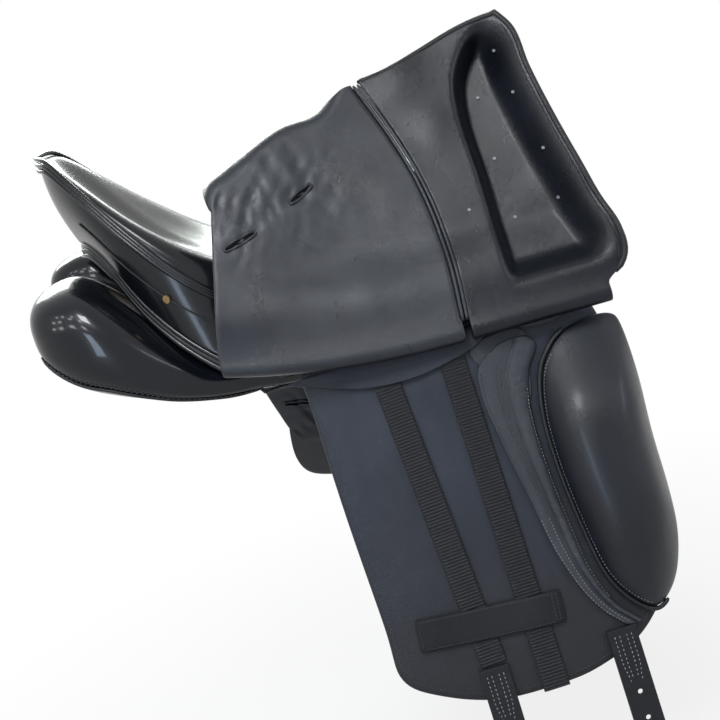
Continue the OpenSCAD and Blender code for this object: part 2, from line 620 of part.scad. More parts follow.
/* Furniture on the seat's side wall: local x points out of the wall */
module at_wall(side, a, k, out) {
  pair(side) translate(wall_pt(-a, k, out)) rotate([0, 0, -a]) children();
}
module saddle_nails() {
  color(brass)
  for (side = [-1, 1]) at_wall(side, 125, 0.63, 0.6) rotate([0, 90, 0]) cylinder(r = 4, h = 1.6);
}
dee_a = 28;
dee_k = 0.45;
dee_out = 5.4;
module dee_tabs() {
  color(leather)
  for (side = [-1, 1])
    at_wall(side, dee_a, dee_k, dee_out)
    difference() {
      cube([7, 14, 16], center = true);
      translate([0.6, 0, -4.4]) rotate([90, 0, 0]) cylinder(r = dee_r + 0.08, h = 30, center = true);
    }
}
module dee_at(side) {
  color(steel) at_wall(side, dee_a, dee_k, dee_out) translate([0.6, 0, -4.4]) {
    rotate([90, 0, 0]) cylinder(r = dee_r, h = 26, center = true);
    rotate([0, 90, 0]) rotate([0, 0, -90]) rotate_extrude(angle = 180) translate([13, 0]) circle(dee_r);
  }
}
tree();
head_plate();
tree_springs();
seat_webbing();
seat_foam();
seat_cover();
seat_piping();
panel_welts();
saddle_nails();
stirrup_bars();
dee_tabs();
panel_at(-1);  // right_panel
panel_at(1);  // left_panel
flock_at(-1);  // right_flock
flock_at(1);  // left_flock
sweat_flap_at(-1);  // right_sweat_flap
sweat_flap_at(1);  // left_sweat_flap
block_at(-1);  // right_block
block_at(1);  // left_block
block_piping_at(-1);  // right_block_piping
block_piping_at(1);  // left_block_piping
point_pocket_at(-1);  // right_point_pocket
point_pocket_at(1);  // left_point_pocket
knee_pad_at(-1);  // right_knee_pad
knee_pad_at(1);  // left_knee_pad
web_cover_at(-1);  // right_web_cover
web_cover_at(1);  // left_web_cover
girth_webs_at(-1);  // right_girth_webs
girth_webs_at(1);  // left_girth_webs
web_keeper_at(-1);  // right_web_keeper
web_keeper_at(1);  // left_web_keeper
hanger_at(-1);  // right_hanger
hanger_at(1);  // left_hanger
flap_rear(-1, 0);  // right_flap
flap_rear(1, raise);  // left_flap
flap_front_at(-1, 0);  // right_flap_front
flap_front_at(1, raise);  // left_flap_front
flap_welt_at(-1, 0);  // right_flap_welt
flap_welt_at(1, raise);  // left_flap_welt
flap_tacks_at(-1, 0);  // right_flap_tacks
flap_tacks_at(1, raise);  // left_flap_tacks
keeper_strap_at(-1, 0);  // right_keeper
keeper_strap_at(1, raise);  // left_keeper
flap_fold_at(-1, 0);  // right_flap_fold
flap_fold_at(1, raise);  // left_flap_fold
flap_tail_at(-1, 0, tail_fold);  // right_flap_tail
flap_tail_at(1, raise, 0);  // left_flap_tail
skirt_at(-1, 0);  // right_skirt
skirt_at(1, raise);  // left_skirt
bar_catch_at(-1);  // right_bar_catch
bar_catch_at(1);  // left_bar_catch
dee_at(-1);  // right_dee
dee_at(1);  // left_dee
billet_at(-1, rear_top, 4);  // right_rear_billet
billet_at(1, rear_top, 4);  // left_rear_billet
billet_at(-1, point_top, 4);  // right_point_billet
billet_at(1, point_top, 4);  // left_point_billet
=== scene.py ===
import math
import random

import bmesh
import bpy
from mathutils import Matrix, Vector, noise


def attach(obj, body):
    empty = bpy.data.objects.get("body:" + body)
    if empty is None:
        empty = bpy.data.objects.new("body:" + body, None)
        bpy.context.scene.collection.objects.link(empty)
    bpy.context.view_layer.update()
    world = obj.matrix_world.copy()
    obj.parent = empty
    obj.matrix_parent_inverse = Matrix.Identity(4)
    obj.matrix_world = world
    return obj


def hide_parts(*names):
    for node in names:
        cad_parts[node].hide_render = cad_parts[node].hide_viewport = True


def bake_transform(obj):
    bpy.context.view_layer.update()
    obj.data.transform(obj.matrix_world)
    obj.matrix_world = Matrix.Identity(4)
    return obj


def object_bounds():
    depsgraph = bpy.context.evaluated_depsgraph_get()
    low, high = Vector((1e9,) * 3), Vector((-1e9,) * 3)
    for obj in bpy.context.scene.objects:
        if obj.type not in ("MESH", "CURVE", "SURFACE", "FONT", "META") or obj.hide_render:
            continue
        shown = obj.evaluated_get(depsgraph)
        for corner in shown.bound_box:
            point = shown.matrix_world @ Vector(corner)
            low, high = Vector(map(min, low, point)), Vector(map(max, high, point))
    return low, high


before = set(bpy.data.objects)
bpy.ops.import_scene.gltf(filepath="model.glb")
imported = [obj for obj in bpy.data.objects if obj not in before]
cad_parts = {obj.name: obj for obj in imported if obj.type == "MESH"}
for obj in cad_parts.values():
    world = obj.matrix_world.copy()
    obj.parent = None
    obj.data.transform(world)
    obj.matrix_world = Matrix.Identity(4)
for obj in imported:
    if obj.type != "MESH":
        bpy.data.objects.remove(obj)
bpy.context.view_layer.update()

# Looks of the english saddle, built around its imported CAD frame. Lengths are millimetres in the part's frame
# (+X forward, +Y near side, +Z up); make() turns them into metres. side is -1 for the off (right) side, whose
# flap is folded up, and 1 for the near (left) one, whose flap hangs.
MM = 0.001
RIGHT, LEFT = -1, 1
SIDE_NAME = {RIGHT: "right", LEFT: "left"}
MIRROR = Matrix.Scale(-1, 4, (0, 1, 0))


def rot(degrees, axis):
    return Matrix.Rotation(math.radians(degrees), 4, axis)


def new_object(name, data):
    obj = bpy.data.objects.new(name, data)
    bpy.context.scene.collection.objects.link(obj)
    return obj


# Camera: level sight line turned 1 degree, 14.5 degrees down, rolled so that the front stands high
AIM = Vector((18, -150, -40))
AZIMUTH, ELEVATION, ROLL, DISTANCE = -1.0, 14.5, 17.0, 1400.0
LENS, SENSOR = 73.7, 36.0


def make_camera():
    a, e, r = (math.radians(v) for v in (AZIMUTH, ELEVATION, ROLL))
    back = Vector((math.sin(a) * math.cos(e), -math.cos(a) * math.cos(e), math.sin(e)))
    right = Vector((math.cos(a), math.sin(a), 0))
    up = back.cross(right)
    x_axis = right * math.cos(r) - up * math.sin(r)
    y_axis = right * math.sin(r) + up * math.cos(r)
    data = bpy.data.cameras.new("camera")
    data.lens = LENS
    data.sensor_width = SENSOR
    data.clip_start = 0.05
    camera = new_object("camera", data)
    place = Matrix((x_axis, y_axis, back)).transposed().to_4x4()
    place.translation = (AIM + back * DISTANCE) * MM
    camera.matrix_world = place
    bpy.context.scene.camera = camera


make_camera()


# Smooth curves through short lists of (x, value) pairs, as in the part's source
def curve(t, table):
    t = min(max(t, table[0][0]), table[-1][0])
    last = len(table) - 2
    i = 0
    while i < last and t >= table[i + 1][0]:
        i += 1

    def slope(k):
        return (table[k + 1][1] - table[k][1]) / (table[k + 1][0] - table[k][0])

    def grad(k):
        if k == 0:
            return slope(0)
        return slope(last) if k > last else (slope(k - 1) + slope(k)) / 2

    d = table[i + 1][0] - table[i][0]
    u = (t - table[i][0]) / d
    a, b, ga, gb = table[i][1], table[i + 1][1], grad(i) * d, grad(i + 1) * d
    cube, square = u * u * u, u * u
    start = (2 * cube - 3 * square + 1) * a + (cube - 2 * square + u) * ga
    return start + (3 * square - 2 * cube) * b + (cube - square) * gb


def mix(a, b, u):
    return a + (b - a) * u


def soft(u):
    v = min(1.0, max(0.0, u))
    return v * v * (3 - 2 * v)


def span(low, high, n):
    return [mix(low, high, i / n) for i in range(n + 1)]


def catmull(p, i, u):
    a, b, c, d = (Vector(p[(i + k) % len(p)]) for k in (-1, 0, 1, 2))
    bend_in = (2 * a - 5 * b + 4 * c - d) * u * u
    return 0.5 * (2 * b + (c - a) * u + bend_in + (3 * b - a - 3 * c + d) * u ** 3)


def smooth_loop(p, n=4):
    return [catmull(p, i, j / n) for i in range(len(p)) for j in range(n)]


# Seat surface: c is the cosine of the angle round the rim, -1 at the cantle and +1 at the pommel
SEAT_HALF, SEAT_CX, CANTLE = 217.0, -11.0, 222.0
RIM_ROLL, RIM_POWER = 12, 2.5
SEAT_F = [(-1, 128), (-.8, 140), (-.5, 142), (-.15, 112), (.2, 88), (.6, 80), (.85, 84), (1, 88)]
RIM_K = [(-1, 6), (-.95, 3), (-.85, -24), (-.7, -66), (-.5, -115), (-.35, -142), (-.2, -156), (0, -163),
         (.3, -156), (.6, -128), (.85, -92), (1, -78)]
DIP_K = [(-228, 4), (-208, -36), (-180, -78), (-150, -112), (-110, -140), (-60, -159), (-10, -168),
         (50, -163), (100, -142), (155, -106), (206, -78)]
DROP_K = [(-1, 102), (-.85, 88), (-.7, 92), (-.5, 90), (-.35, 86), (-.2, 72), (0, 50), (.3, 52), (.6, 64),
          (.85, 80), (1, 84)]
TUCK_K = [(-1, 12), (-.85, 8), (-.7, -2), (-.5, -14), (-.35, -25), (-.2, -27), (0, -20), (.3, -14),
          (.6, -6), (.85, 2), (1, 8)]


def seat_x(c):
    return SEAT_CX + SEAT_HALF * c


def seat_pt(a, f):
    c, s = math.cos(a), math.sin(a)
    x = seat_x(f * c)
    roll = max(0.0, f - 0.8) / 0.2
    lift = curve(c, RIM_K) + RIM_ROLL - curve(seat_x(c), DIP_K)
    z = CANTLE + curve(x, DIP_K) + lift * f ** RIM_POWER - RIM_ROLL * roll * roll
    return Vector((x, curve(f * c, SEAT_F) * f * s, z))


def wall_pt(a, k, out=0.0):
    c, s = math.cos(a), math.sin(a)
    inset = curve(c, TUCK_K) * k * k - 4 * math.sin(math.pi * k) - out
    n = Vector((c, 1.3 * s)).normalized()
    return Vector((seat_x(c) - inset * n.x, curve(c, SEAT_F) * s - inset * n.y,
                   CANTLE + curve(c, RIM_K) - k * curve(c, DROP_K)))


# Panels: values follow x
PAN_W = [(-272, 54), (-200, 59), (-120, 52), (-60, 46), (0, 52), (50, 56), (90, 52), (130, 46), (200, 40)]
PAN_Z = [(-272, 64), (-240, 55), (-215, 48), (-185, 27), (-157, 5), (-126, -13), (-100, -21), (-40, -24),
         (40, -25), (118, -18), (200, -8)]
PAN_H = [(-272, 54), (-240, 58), (-215, 57), (-185, 46), (-157, 33), (-126, 22), (-100, 19), (-40, 19),
         (40, 19), (118, 21), (200, 22)]
CHANNEL = 34.0


def round_pow(v, p=0.75):
    return math.copysign(abs(v) ** p, v) if abs(v) > 1e-6 else 0.0


def panel_pt(x, q, grow=0.0):
    e = max(0.0, 1 - abs((x + 32.5) / 243) ** 7) ** 0.4
    v = (curve(x, PAN_W) * e + grow) * round_pow(math.cos(q))
    h = (curve(x, PAN_H) * e + grow) * round_pow(math.sin(q))
    tilt = 0.3 if x > -80 else 0.18
    return Vector((x, -CHANNEL - 6 - curve(x, PAN_W) + v, curve(x, PAN_Z) + h + tilt * v))


# Side frame: x forward, y up the sweat flap, z out from the horse
SIDE = Matrix.Translation((0, -150, 0)) @ rot(74, "X")
SWEAT_T, GAP, WEB_T = 4.0, 0.3, 2.4


def bend(x):
    return math.sqrt(700 ** 2 - (x - 118) ** 2) - 700


SWEAT_K = [(-40, -38), (-40, -70), (-39, -177), (-35, -290), (-34, -340), (-3, -364), (49, -382),
           (110, -384), (147, -380), (191, -365), (224, -336), (248, -296), (258, -230), (256, -140),
           (248, -70), (236, -36), (215, -33), (100, -33), (-20, -33)]
BLOCK_K = [(192, -80), (211, -68), (236, -63), (258, -66), (265, -80), (266, -127), (262, -184),
           (261, -240), (257, -280), (245, -315), (228, -336), (212, -341), (193, -324), (178, -294),
           (170, -241), (166, -190), (167, -142), (176, -102)]
KNEE_L = [(62, 148), (76, 124), (100, 117), (150, 121), (211, 131), (272, 141), (328, 164), (350, 184)]
KNEE_R = [(62, 174), (72, 181), (94, 168), (125, 159), (190, 157), (246, 161), (298, 168), (330, 182),
          (350, 200)]
COVER_K = [(-49, -40), (-49, -44), (-16, -57), (18, -67), (66, -70), (118, -61), (138, -50), (138, -40)]
POCKET_K = [(156, -40), (160, -47), (180, -57), (206, -57), (228, -48), (232, -40)]
BLOCK_C, BLOCK_H = Vector((218, -202)), 44.0
REAR_WEB = ((33, -35), (53, -347))
FRONT_WEB = ((100, -35), (103, -386))
KEEPER_K = ((-8, -304), (131, -314))
WEB_W, KEEPER_W = 25.0, 31.0

# Flap frame: x along the fold, y up the raised flap, z out to its underside
FOLD_A = Vector((-115, -184, -30))
FOLD_YAW, FOLD_PITCH, LEAN, RAISE = 0.6, 1.6, 28.0, 184.0
ROLL_R, FLAP_L, FLAP_T, HOLLOW_D, TAIL_FOLD = 9.0, 302.0, 3.2, 30.0, 74.0
HOLLOW_K = [(0, 168), (140, 172), (212, 172), (250, 180), (278, 200), (302, 232)]
FRONT_K = [(0, 260), (.03, 274), (.07, 283), (.15, 284), (.26, 276), (.42, 267), (.6, 258), (.78, 251),
           (.93, 248), (1, 238)]


def flap_matrix(angle):
    turn = rot(FOLD_YAW, "Z") @ rot(FOLD_PITCH, "Y")
    return Matrix.Translation(FOLD_A) @ turn @ rot(90 - LEAN + angle, "X") @ Matrix.Translation((115, 0, 0))


def flap_z(x, h):
    return (x - 90) ** 2 / 1800 * soft(h / 130)


def hollow(x, h, edge):
    side_in = soft((x - curve(h, HOLLOW_K)) / 16)
    return HOLLOW_D * side_in * soft((edge - 4 - x) / 32) * soft((h - 26) / 34) * soft((FLAP_L - 6 - h) / 26)


def rear_pt(u, v):
    h0 = ROLL_R + GAP + 15 * (1 - u) ** 2
    x = mix(mix(-109, 118, u), mix(-79, 84, u), v) + 18 * math.sin(math.pi * v) * u
    h = mix(h0, mix(187, 268, u), v)
    chord = mix(flap_z(-79, FLAP_L), flap_z(84, FLAP_L), u)
    return Vector((x, h, mix(flap_z(x, h), chord, v ** 3)))


def front_pt(u, v):
    x0 = mix(118, 84, v) + 18 * math.sin(math.pi * v) + 6.5
    x1 = curve(v, FRONT_K)
    x = mix(x0, x1, u)
    h = mix(ROLL_R + GAP, mix(271, 297, soft(u * 1.1)), v)
    return Vector((x, h, flap_z(x, h) - hollow(x, h, x1)))


CREASE_A, CREASE_B = rear_pt(0, 1), rear_pt(1, 1)
CREASE_L = (CREASE_B - CREASE_A).length


def fold_pt(x):
    d = x - FOLD_A.x
    yaw, pitch = math.radians(FOLD_YAW), math.radians(FOLD_PITCH)
    return Vector((x, FOLD_A.y + d * math.tan(yaw), FOLD_A.z - d * math.tan(pitch)))


def hang_pt(u, v):
    a = -math.acos((mix(-58, 150, u) - SEAT_CX) / SEAT_HALF)
    top = wall_pt(a, 0.8, 2.6)
    q = math.radians(20)
    low = fold_pt(mix(-60, 185, u)) + (ROLL_R + GAP + 1.6) * Vector((0, math.cos(q), math.sin(q)))
    return top.lerp(low, v) + Vector((0, 3 * math.sin(math.pi * v), 0))


# Materials
def node_material(name):
    material = bpy.data.materials.new(name)
    material.use_nodes = True
    tree = material.node_tree
    return material, tree.nodes, tree.links, tree.nodes["Principled BSDF"]


def add_noise(nodes, links, coords, scale, detail=4.0, stretch=(1, 1, 1)):
    mapping = nodes.new("ShaderNodeMapping")
    mapping.inputs["Scale"].default_value = stretch
    links.new(coords.outputs["Object"], mapping.inputs["Vector"])
    texture = nodes.new("ShaderNodeTexNoise")
    texture.inputs["Scale"].default_value = scale
    texture.inputs["Detail"].default_value = detail
    links.new(mapping.outputs["Vector"], texture.inputs["Vector"])
    return texture


def ramp(nodes, links, source, stops):
    block = nodes.new("ShaderNodeValToRGB")
    while len(block.color_ramp.elements) < len(stops):
        block.color_ramp.elements.new(0.5)
    for element, (place, value) in zip(block.color_ramp.elements, stops):
        element.position = place
        element.color = (*value, 1) if isinstance(value, tuple) else (value, value, value, 1)
    links.new(source, block.inputs["Fac"])
    return block


def math_node(nodes, links, operation, *values):
    block = nodes.new("ShaderNodeMath")
    block.operation = operation
    for socket, value in zip(block.inputs, values):
        if isinstance(value, float):
            socket.default_value = value
        else:
            links.new(value, socket)
    return block.outputs[0]


def bump(nodes, links, height, distance, strength=1.0, under=None):
    block = nodes.new("ShaderNodeBump")
    block.inputs["Distance"].default_value = distance
    block.inputs["Strength"].default_value = strength
    links.new(height, block.inputs["Height"])
    if under:
        links.new(under.outputs["Normal"], block.inputs["Normal"])
    return block


def leather(name, dark, light, rough, grain=0.00018, grain_scale=900.0, specular=0.4, coat=0.0,
            coat_rough=0.1, wave=0.0005, scuff=0.5, low_tint=None):
    """Dyed leather: pore grain over slow waves, cloudy colour and polish, fine scuffs.

    dark and light are its two dyes. The last argument is (height, lower height, colour): going down, the dye
    turns to that colour.
    """
    material, nodes, links, shader = node_material(name)
    coords = nodes.new("ShaderNodeTexCoord")
    cloud = add_noise(nodes, links, coords, 14, 5)
    fine = add_noise(nodes, links, coords, 160, 6)
    tint = ramp(nodes, links, cloud.outputs["Fac"], [(0.35, dark), (0.7, light)])
    worn = ramp(nodes, links, fine.outputs["Fac"], [(0.62, (1, 1, 1)), (0.8, (1 + scuff,) * 3)])
    blend = nodes.new("ShaderNodeMix")
    blend.data_type = "RGBA"
    blend.blend_type = "MULTIPLY"
    blend.inputs[0].default_value = 1
    links.new(tint.outputs["Color"], blend.inputs[6])
    links.new(worn.outputs["Color"], blend.inputs[7])
    colour = blend.outputs[2]
    # Below the first height the colour grades towards the given colour, reached at the second height: darker
    # towards the bottom
    if low_tint:
        high, low, low_colour = low_tint
        split = nodes.new("ShaderNodeSeparateXYZ")
        links.new(coords.outputs["Object"], split.inputs["Vector"])
        place = nodes.new("ShaderNodeMapRange")
        place.inputs["From Min"].default_value = high
        place.inputs["From Max"].default_value = low
        links.new(split.outputs["Z"], place.inputs["Value"])
        low_blend = nodes.new("ShaderNodeMix")
        low_blend.data_type = "RGBA"
        links.new(place.outputs["Result"], low_blend.inputs[0])
        links.new(colour, low_blend.inputs[6])
        low_blend.inputs[7].default_value = (*low_colour, 1)
        colour = low_blend.outputs[2]
    links.new(colour, shader.inputs["Base Color"])
    smear = add_noise(nodes, links, coords, 32, 6, (1, 1, 0.35))
    gloss = ramp(nodes, links, smear.outputs["Fac"], [(0.3, rough * 0.8), (0.75, min(1.0, rough * 1.3))])
    links.new(gloss.outputs["Color"], shader.inputs["Roughness"])
    cells = nodes.new("ShaderNodeTexVoronoi")
    cells.feature = "DISTANCE_TO_EDGE"
    cells.inputs["Scale"].default_value = grain_scale
    links.new(coords.outputs["Object"], cells.inputs["Vector"])
    pores = ramp(nodes, links, cells.outputs["Distance"], [(0.0, 0.0), (0.18, 1.0)])
    slow = add_noise(nodes, links, coords, 38, 3)
    first = bump(nodes, links, slow.outputs["Fac"], wave)
    second = bump(nodes, links, pores.outputs["Color"], grain, 0.8, first)
    links.new(second.outputs["Normal"], shader.inputs["Normal"])
    shader.inputs["Specular IOR Level"].default_value = specular
    if coat:
        shader.inputs["Coat Weight"].default_value = coat
        shader.inputs["Coat Roughness"].default_value = coat_rough
        links.new(first.outputs["Normal"], shader.inputs["Coat Normal"])
    return material


def woven(name, colour, other, pitch_scale, rough=0.75, depth=0.0003):
    """Woven band: fine crossing threads with small shade changes."""
    material, nodes, links, shader = node_material(name)
    coords = nodes.new("ShaderNodeTexCoord")
    waves = []
    for direction in ("X", "Z"):
        wave = nodes.new("ShaderNodeTexWave")
        wave.bands_direction = direction
        wave.inputs["Scale"].default_value = pitch_scale
        wave.inputs["Distortion"].default_value = 0.6
        wave.inputs["Detail"].default_value = 1
        links.new(coords.outputs["Object"], wave.inputs["Vector"])
        waves.append(wave)
    cross = math_node(nodes, links, "MAXIMUM", *(wave.outputs["Fac"] for wave in waves))
    tint = ramp(nodes, links, cross, [(0.2, colour), (0.9, other)])
    links.new(tint.outputs["Color"], shader.inputs["Base Color"])
    links.new(bump(nodes, links, cross, depth).outputs["Normal"], shader.inputs["Normal"])
    shader.inputs["Roughness"].default_value = rough
    shader.inputs["Specular IOR Level"].default_value = 0.3
    return material


def metal(name, colour, rough, spots=0.25):
    """Cast or drawn metal: brushed polish with faint tarnish."""
    material, nodes, links, shader = node_material(name)
    coords = nodes.new("ShaderNodeTexCoord")
    brushed = add_noise(nodes, links, coords, 420, 4, (1, 0.12, 1))
    tarnish = add_noise(nodes, links, coords, 90, 5)
    dark = tuple(c * (1 - spots) for c in colour)
    tint = ramp(nodes, links, tarnish.outputs["Fac"], [(0.4, colour), (0.7, dark)])
    polish = ramp(nodes, links, brushed.outputs["Fac"], [(0.3, rough * 0.7), (0.7, rough * 1.4)])
    links.new(tint.outputs["Color"], shader.inputs["Base Color"])
    links.new(polish.outputs["Color"], shader.inputs["Roughness"])
    links.new(bump(nodes, links, brushed.outputs["Fac"], 0.00004).outputs["Normal"], shader.inputs["Normal"])
    shader.inputs["Metallic"].default_value = 1
    return material


def fibrous(name, colour, other, scale, depth, rough=0.9, stretch=(1, 1, 1)):
    """Timber, foam and wool: long or round mottling, with bump to match."""
    material, nodes, links, shader = node_material(name)
    coords = nodes.new("ShaderNodeTexCoord")
    strands = add_noise(nodes, links, coords, scale, 8, stretch)
    tint = ramp(nodes, links, strands.outputs["Fac"], [(0.35, colour), (0.65, other)])
    links.new(tint.outputs["Color"], shader.inputs["Base Color"])
    links.new(bump(nodes, links, strands.outputs["Fac"], depth).outputs["Normal"], shader.inputs["Normal"])
    shader.inputs["Roughness"].default_value = rough
    return material


SEAT_LEATHER = leather("seat_leather", (.003, .004, .005), (.005, .006, .008), rough=.24,
                       grain=.000012, grain_scale=1300, specular=.2, coat=.22, coat_rough=.12, wave=.00006,
                       scuff=.2)
PANEL_LEATHER = leather("panel_leather", (.002, .003, .005), (.004, .005, .009), rough=.24,
                        grain=.00001, grain_scale=1200, specular=.16, coat=.35, coat_rough=.05, wave=.0002,
                        scuff=.2)
BLOCK_LEATHER = leather("block_leather", (.003, .0045, .008), (.006, .008, .015), rough=.32,
                        grain=.00006, grain_scale=1100, specular=.3, coat=.08, coat_rough=.2, wave=.0003,
                        scuff=.4)
FLAP_LEATHER = leather("flap_leather", (.006, .008, .013), (.014, .017, .024), rough=.31,
                       grain=.00007, grain_scale=1000, specular=.36, wave=.0006, scuff=.4)
# Front part of the flap: a darker copy of the flap leather, whose extra darkness is painted shade of the
# recessed front
RECESS_SHADED_LEATHER = leather("front_leather", (.003, .004, .007), (.006, .008, .013), rough=.27,
                         grain=.00006, grain_scale=1000, specular=.27, wave=.0003, scuff=.35)
# Sweat flap leather: darker and browner from 0.16 m down to 0.40 m below the origin
SWEAT_LEATHER = leather("sweat_leather", (.008, .011, .019), (.017, .022, .036), rough=.42,
                        grain=.00014, grain_scale=900, specular=.3, wave=.0006, scuff=.6,
                        low_tint=(-.16, -.40, (.0045, .0035, .004)))
SOFT_LEATHER = leather("soft_leather", (.020, .023, .030), (.042, .046, .056), rough=.44,
                       grain=.00025, grain_scale=700, specular=.35, wave=.0007, scuff=.5)
STRAP_LEATHER = leather("strap_leather", (.004, .0045, .006), (.009, .010, .013), rough=.5,
                        grain=.00020, grain_scale=850, specular=.22, wave=.0005, scuff=.9)
EDGE_LEATHER = leather("edge_leather", (.003, .004, .005), (.007, .008, .010), rough=.35,
                       grain=.00012, grain_scale=900, specular=.3, wave=.0004, scuff=.6)
WEBBING = woven("black_webbing", (.003, .0035, .005), (.008, .009, .013), 900, .36, .00012)
THREAD_BLACK = fibrous("black_thread", (.010, .010, .012), (.045, .045, .05), 1500, .0001, .6)
THREAD_PALE = fibrous("pale_thread", (.16, .16, .16), (.36, .36, .35), 1500, .0001, .6)
STEEL = metal("nickel_steel", (.62, .62, .64), .28)
TACK = metal("dull_nickel", (.16, .17, .19), .42, .5)
BRASS = metal("aged_brass", (.52, .37, .17), .35, .4)
TIMBER = fibrous("bent_ply", (.30, .19, .10), (.52, .36, .20), 60, .0002, .5, (.15, 1, 1))
FOAM = fibrous("seat_foam", (.55, .52, .42), (.72, .70, .60), 700, .0004)
WOOL = fibrous("carded_wool", (.62, .58, .48), (.80, .77, .68), 220, .0008)
JUTE = woven("jute_webbing", (.22, .17, .10), (.46, .38, .26), 260, .85, .0006)


# Mesh building
def from_bmesh(name, mesh):
    bmesh.ops.recalc_face_normals(mesh, faces=mesh.faces)
    data = bpy.data.meshes.new(name)
    mesh.to_mesh(data)
    mesh.free()
    return new_object(name, data)


def make(name, rows, ring=False, caps=False):
    """A mesh from rows of points: ring joins each row's ends, and caps closes the first and last row."""
    mesh = bmesh.new()
    grid = [[mesh.verts.new(Vector(p) * MM) for p in row] for row in rows]
    n = len(rows[0])
    for low, high in zip(grid, grid[1:]):
        for j in range(n if ring else n - 1):
            k = (j + 1) % n
            mesh.faces.new((low[j], low[k], high[k], high[j]))
    if caps:
        for row in (grid[0], grid[-1]):
            middle = mesh.verts.new(sum((v.co for v in row), Vector()) / n)
            for j in range(n):
                mesh.faces.new((row[j], row[(j + 1) % n], middle))
    return from_bmesh(name, mesh)


def settle(obj, material, thick=0.0, levels=1, offset=0.0, rim=None):
    """Gives a mesh its thickness and smoothness, applies both, and dresses it."""
    if thick:
        shell = obj.modifiers.new("thickness", "SOLIDIFY")
        shell.thickness = thick * MM
        shell.offset = offset
        shell.material_offset_rim = 1 if rim else 0
    if levels:
        smooth = obj.modifiers.new("smooth", "SUBSURF")
        smooth.levels = smooth.render_levels = levels
    obj.data.materials.append(material)
    if rim:
        obj.data.materials.append(rim)
    bpy.context.view_layer.update()
    final = bpy.data.meshes.new_from_object(obj.evaluated_get(bpy.context.evaluated_depsgraph_get()))
    obj.modifiers.clear()
    obj.data = final
    for face in final.polygons:
        face.use_smooth = True
    return obj


def piece(obj, body, slot, *nodes, fill=None):
    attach(obj, body)
    if nodes:
        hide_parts(*nodes)
    return obj


def path_frames(path, closed=False):
    """Tangent and two normals along a path, carried without twist."""
    m = len(path)
    out = []
    normal = None
    for i in range(m):
        ahead = path[(i + 1) % m] if closed else path[min(i + 1, m - 1)]
        behind = path[i - 1] if closed or i else path[0]
        tangent = (Vector(ahead) - Vector(behind)).normalized()
        if normal is None:
            normal = tangent.orthogonal()
        normal = (normal - tangent * normal.dot(tangent)).normalized()
        out.append((tangent, normal, tangent.cross(normal)))
    return out


def tube(name, path, r, material, closed=False):
    """Round cord along a path, with rounded ends."""
    sides, end_share = 10, 0.55
    turns = [2 * math.pi * j / sides for j in range(sides)]
    rows = []
    for i, (p, (_, a, b)) in enumerate(zip(path, path_frames(path, closed))):
        end = end_share if not closed and i in (0, len(path) - 1) else 1.0
        rows.append([Vector(p) + (a * math.cos(q) + b * math.sin(q)) * r * end for q in turns])
    if closed:
        rows.append(rows[0])
    obj = make(name, rows, ring=True, caps=not closed)
    if closed:
        weld(obj)
    return settle(obj, material, levels=0)


def weld(obj):
    mesh = bmesh.new()
    mesh.from_mesh(obj.data)
    bmesh.ops.remove_doubles(mesh, verts=mesh.verts, dist=1e-6)
    mesh.to_mesh(obj.data)
    mesh.free()


def resample(path, pitch):
    """Points every pitch along a path, each with its direction."""
    out, left = [], pitch / 2
    for a, b in zip(path, path[1:]):
        d = Vector(b) - Vector(a)
        length = d.length
        while length and left <= length:
            out.append((Vector(a) + d * (left / length), d / length))
            left += pitch
        left -= length
    return out


PALE_STITCH = (3.4, 1.7, .36)


def stitches(name, paths, material, body, pitch=3.6, length=2.3, r=0.42):
    """Rows of thread stitches. Each path is (points, outward direction)."""
    mesh = bmesh.new()
    sides = 6
    turns = [2 * math.pi * j / sides for j in range(sides)]
    for points, out in paths:
        up0 = Vector(out).normalized()
        for p, t in resample(points, pitch):
            up = (up0 - t * up0.dot(t)).normalized()
            across = t.cross(up)
            rings = []
            for along, wide in ((-0.5, 0.45), (-0.2, 1), (0.2, 1), (0.5, 0.45)):
                centre = p + t * along * length + up * r * 0.25 * math.cos(math.pi * along)
                rings.append([mesh.verts.new((centre + (up * math.sin(q) + across * math.cos(q)) * (r * wide))
                                             * MM) for q in turns])
            for low, high in zip(rings, rings[1:]):
                for j in range(sides):
                    mesh.faces.new((low[j], low[(j + 1) % sides], high[(j + 1) % sides], high[j]))
            mesh.faces.new(rings[0][::-1])
            mesh.faces.new(rings[-1])
    return piece(settle(from_bmesh(name, mesh), material, levels=0), body, "leather")


def wobble(p, scale, seed=0.0):
    return noise.noise(Vector(p) / scale + Vector((seed, seed * 1.7, -seed)))


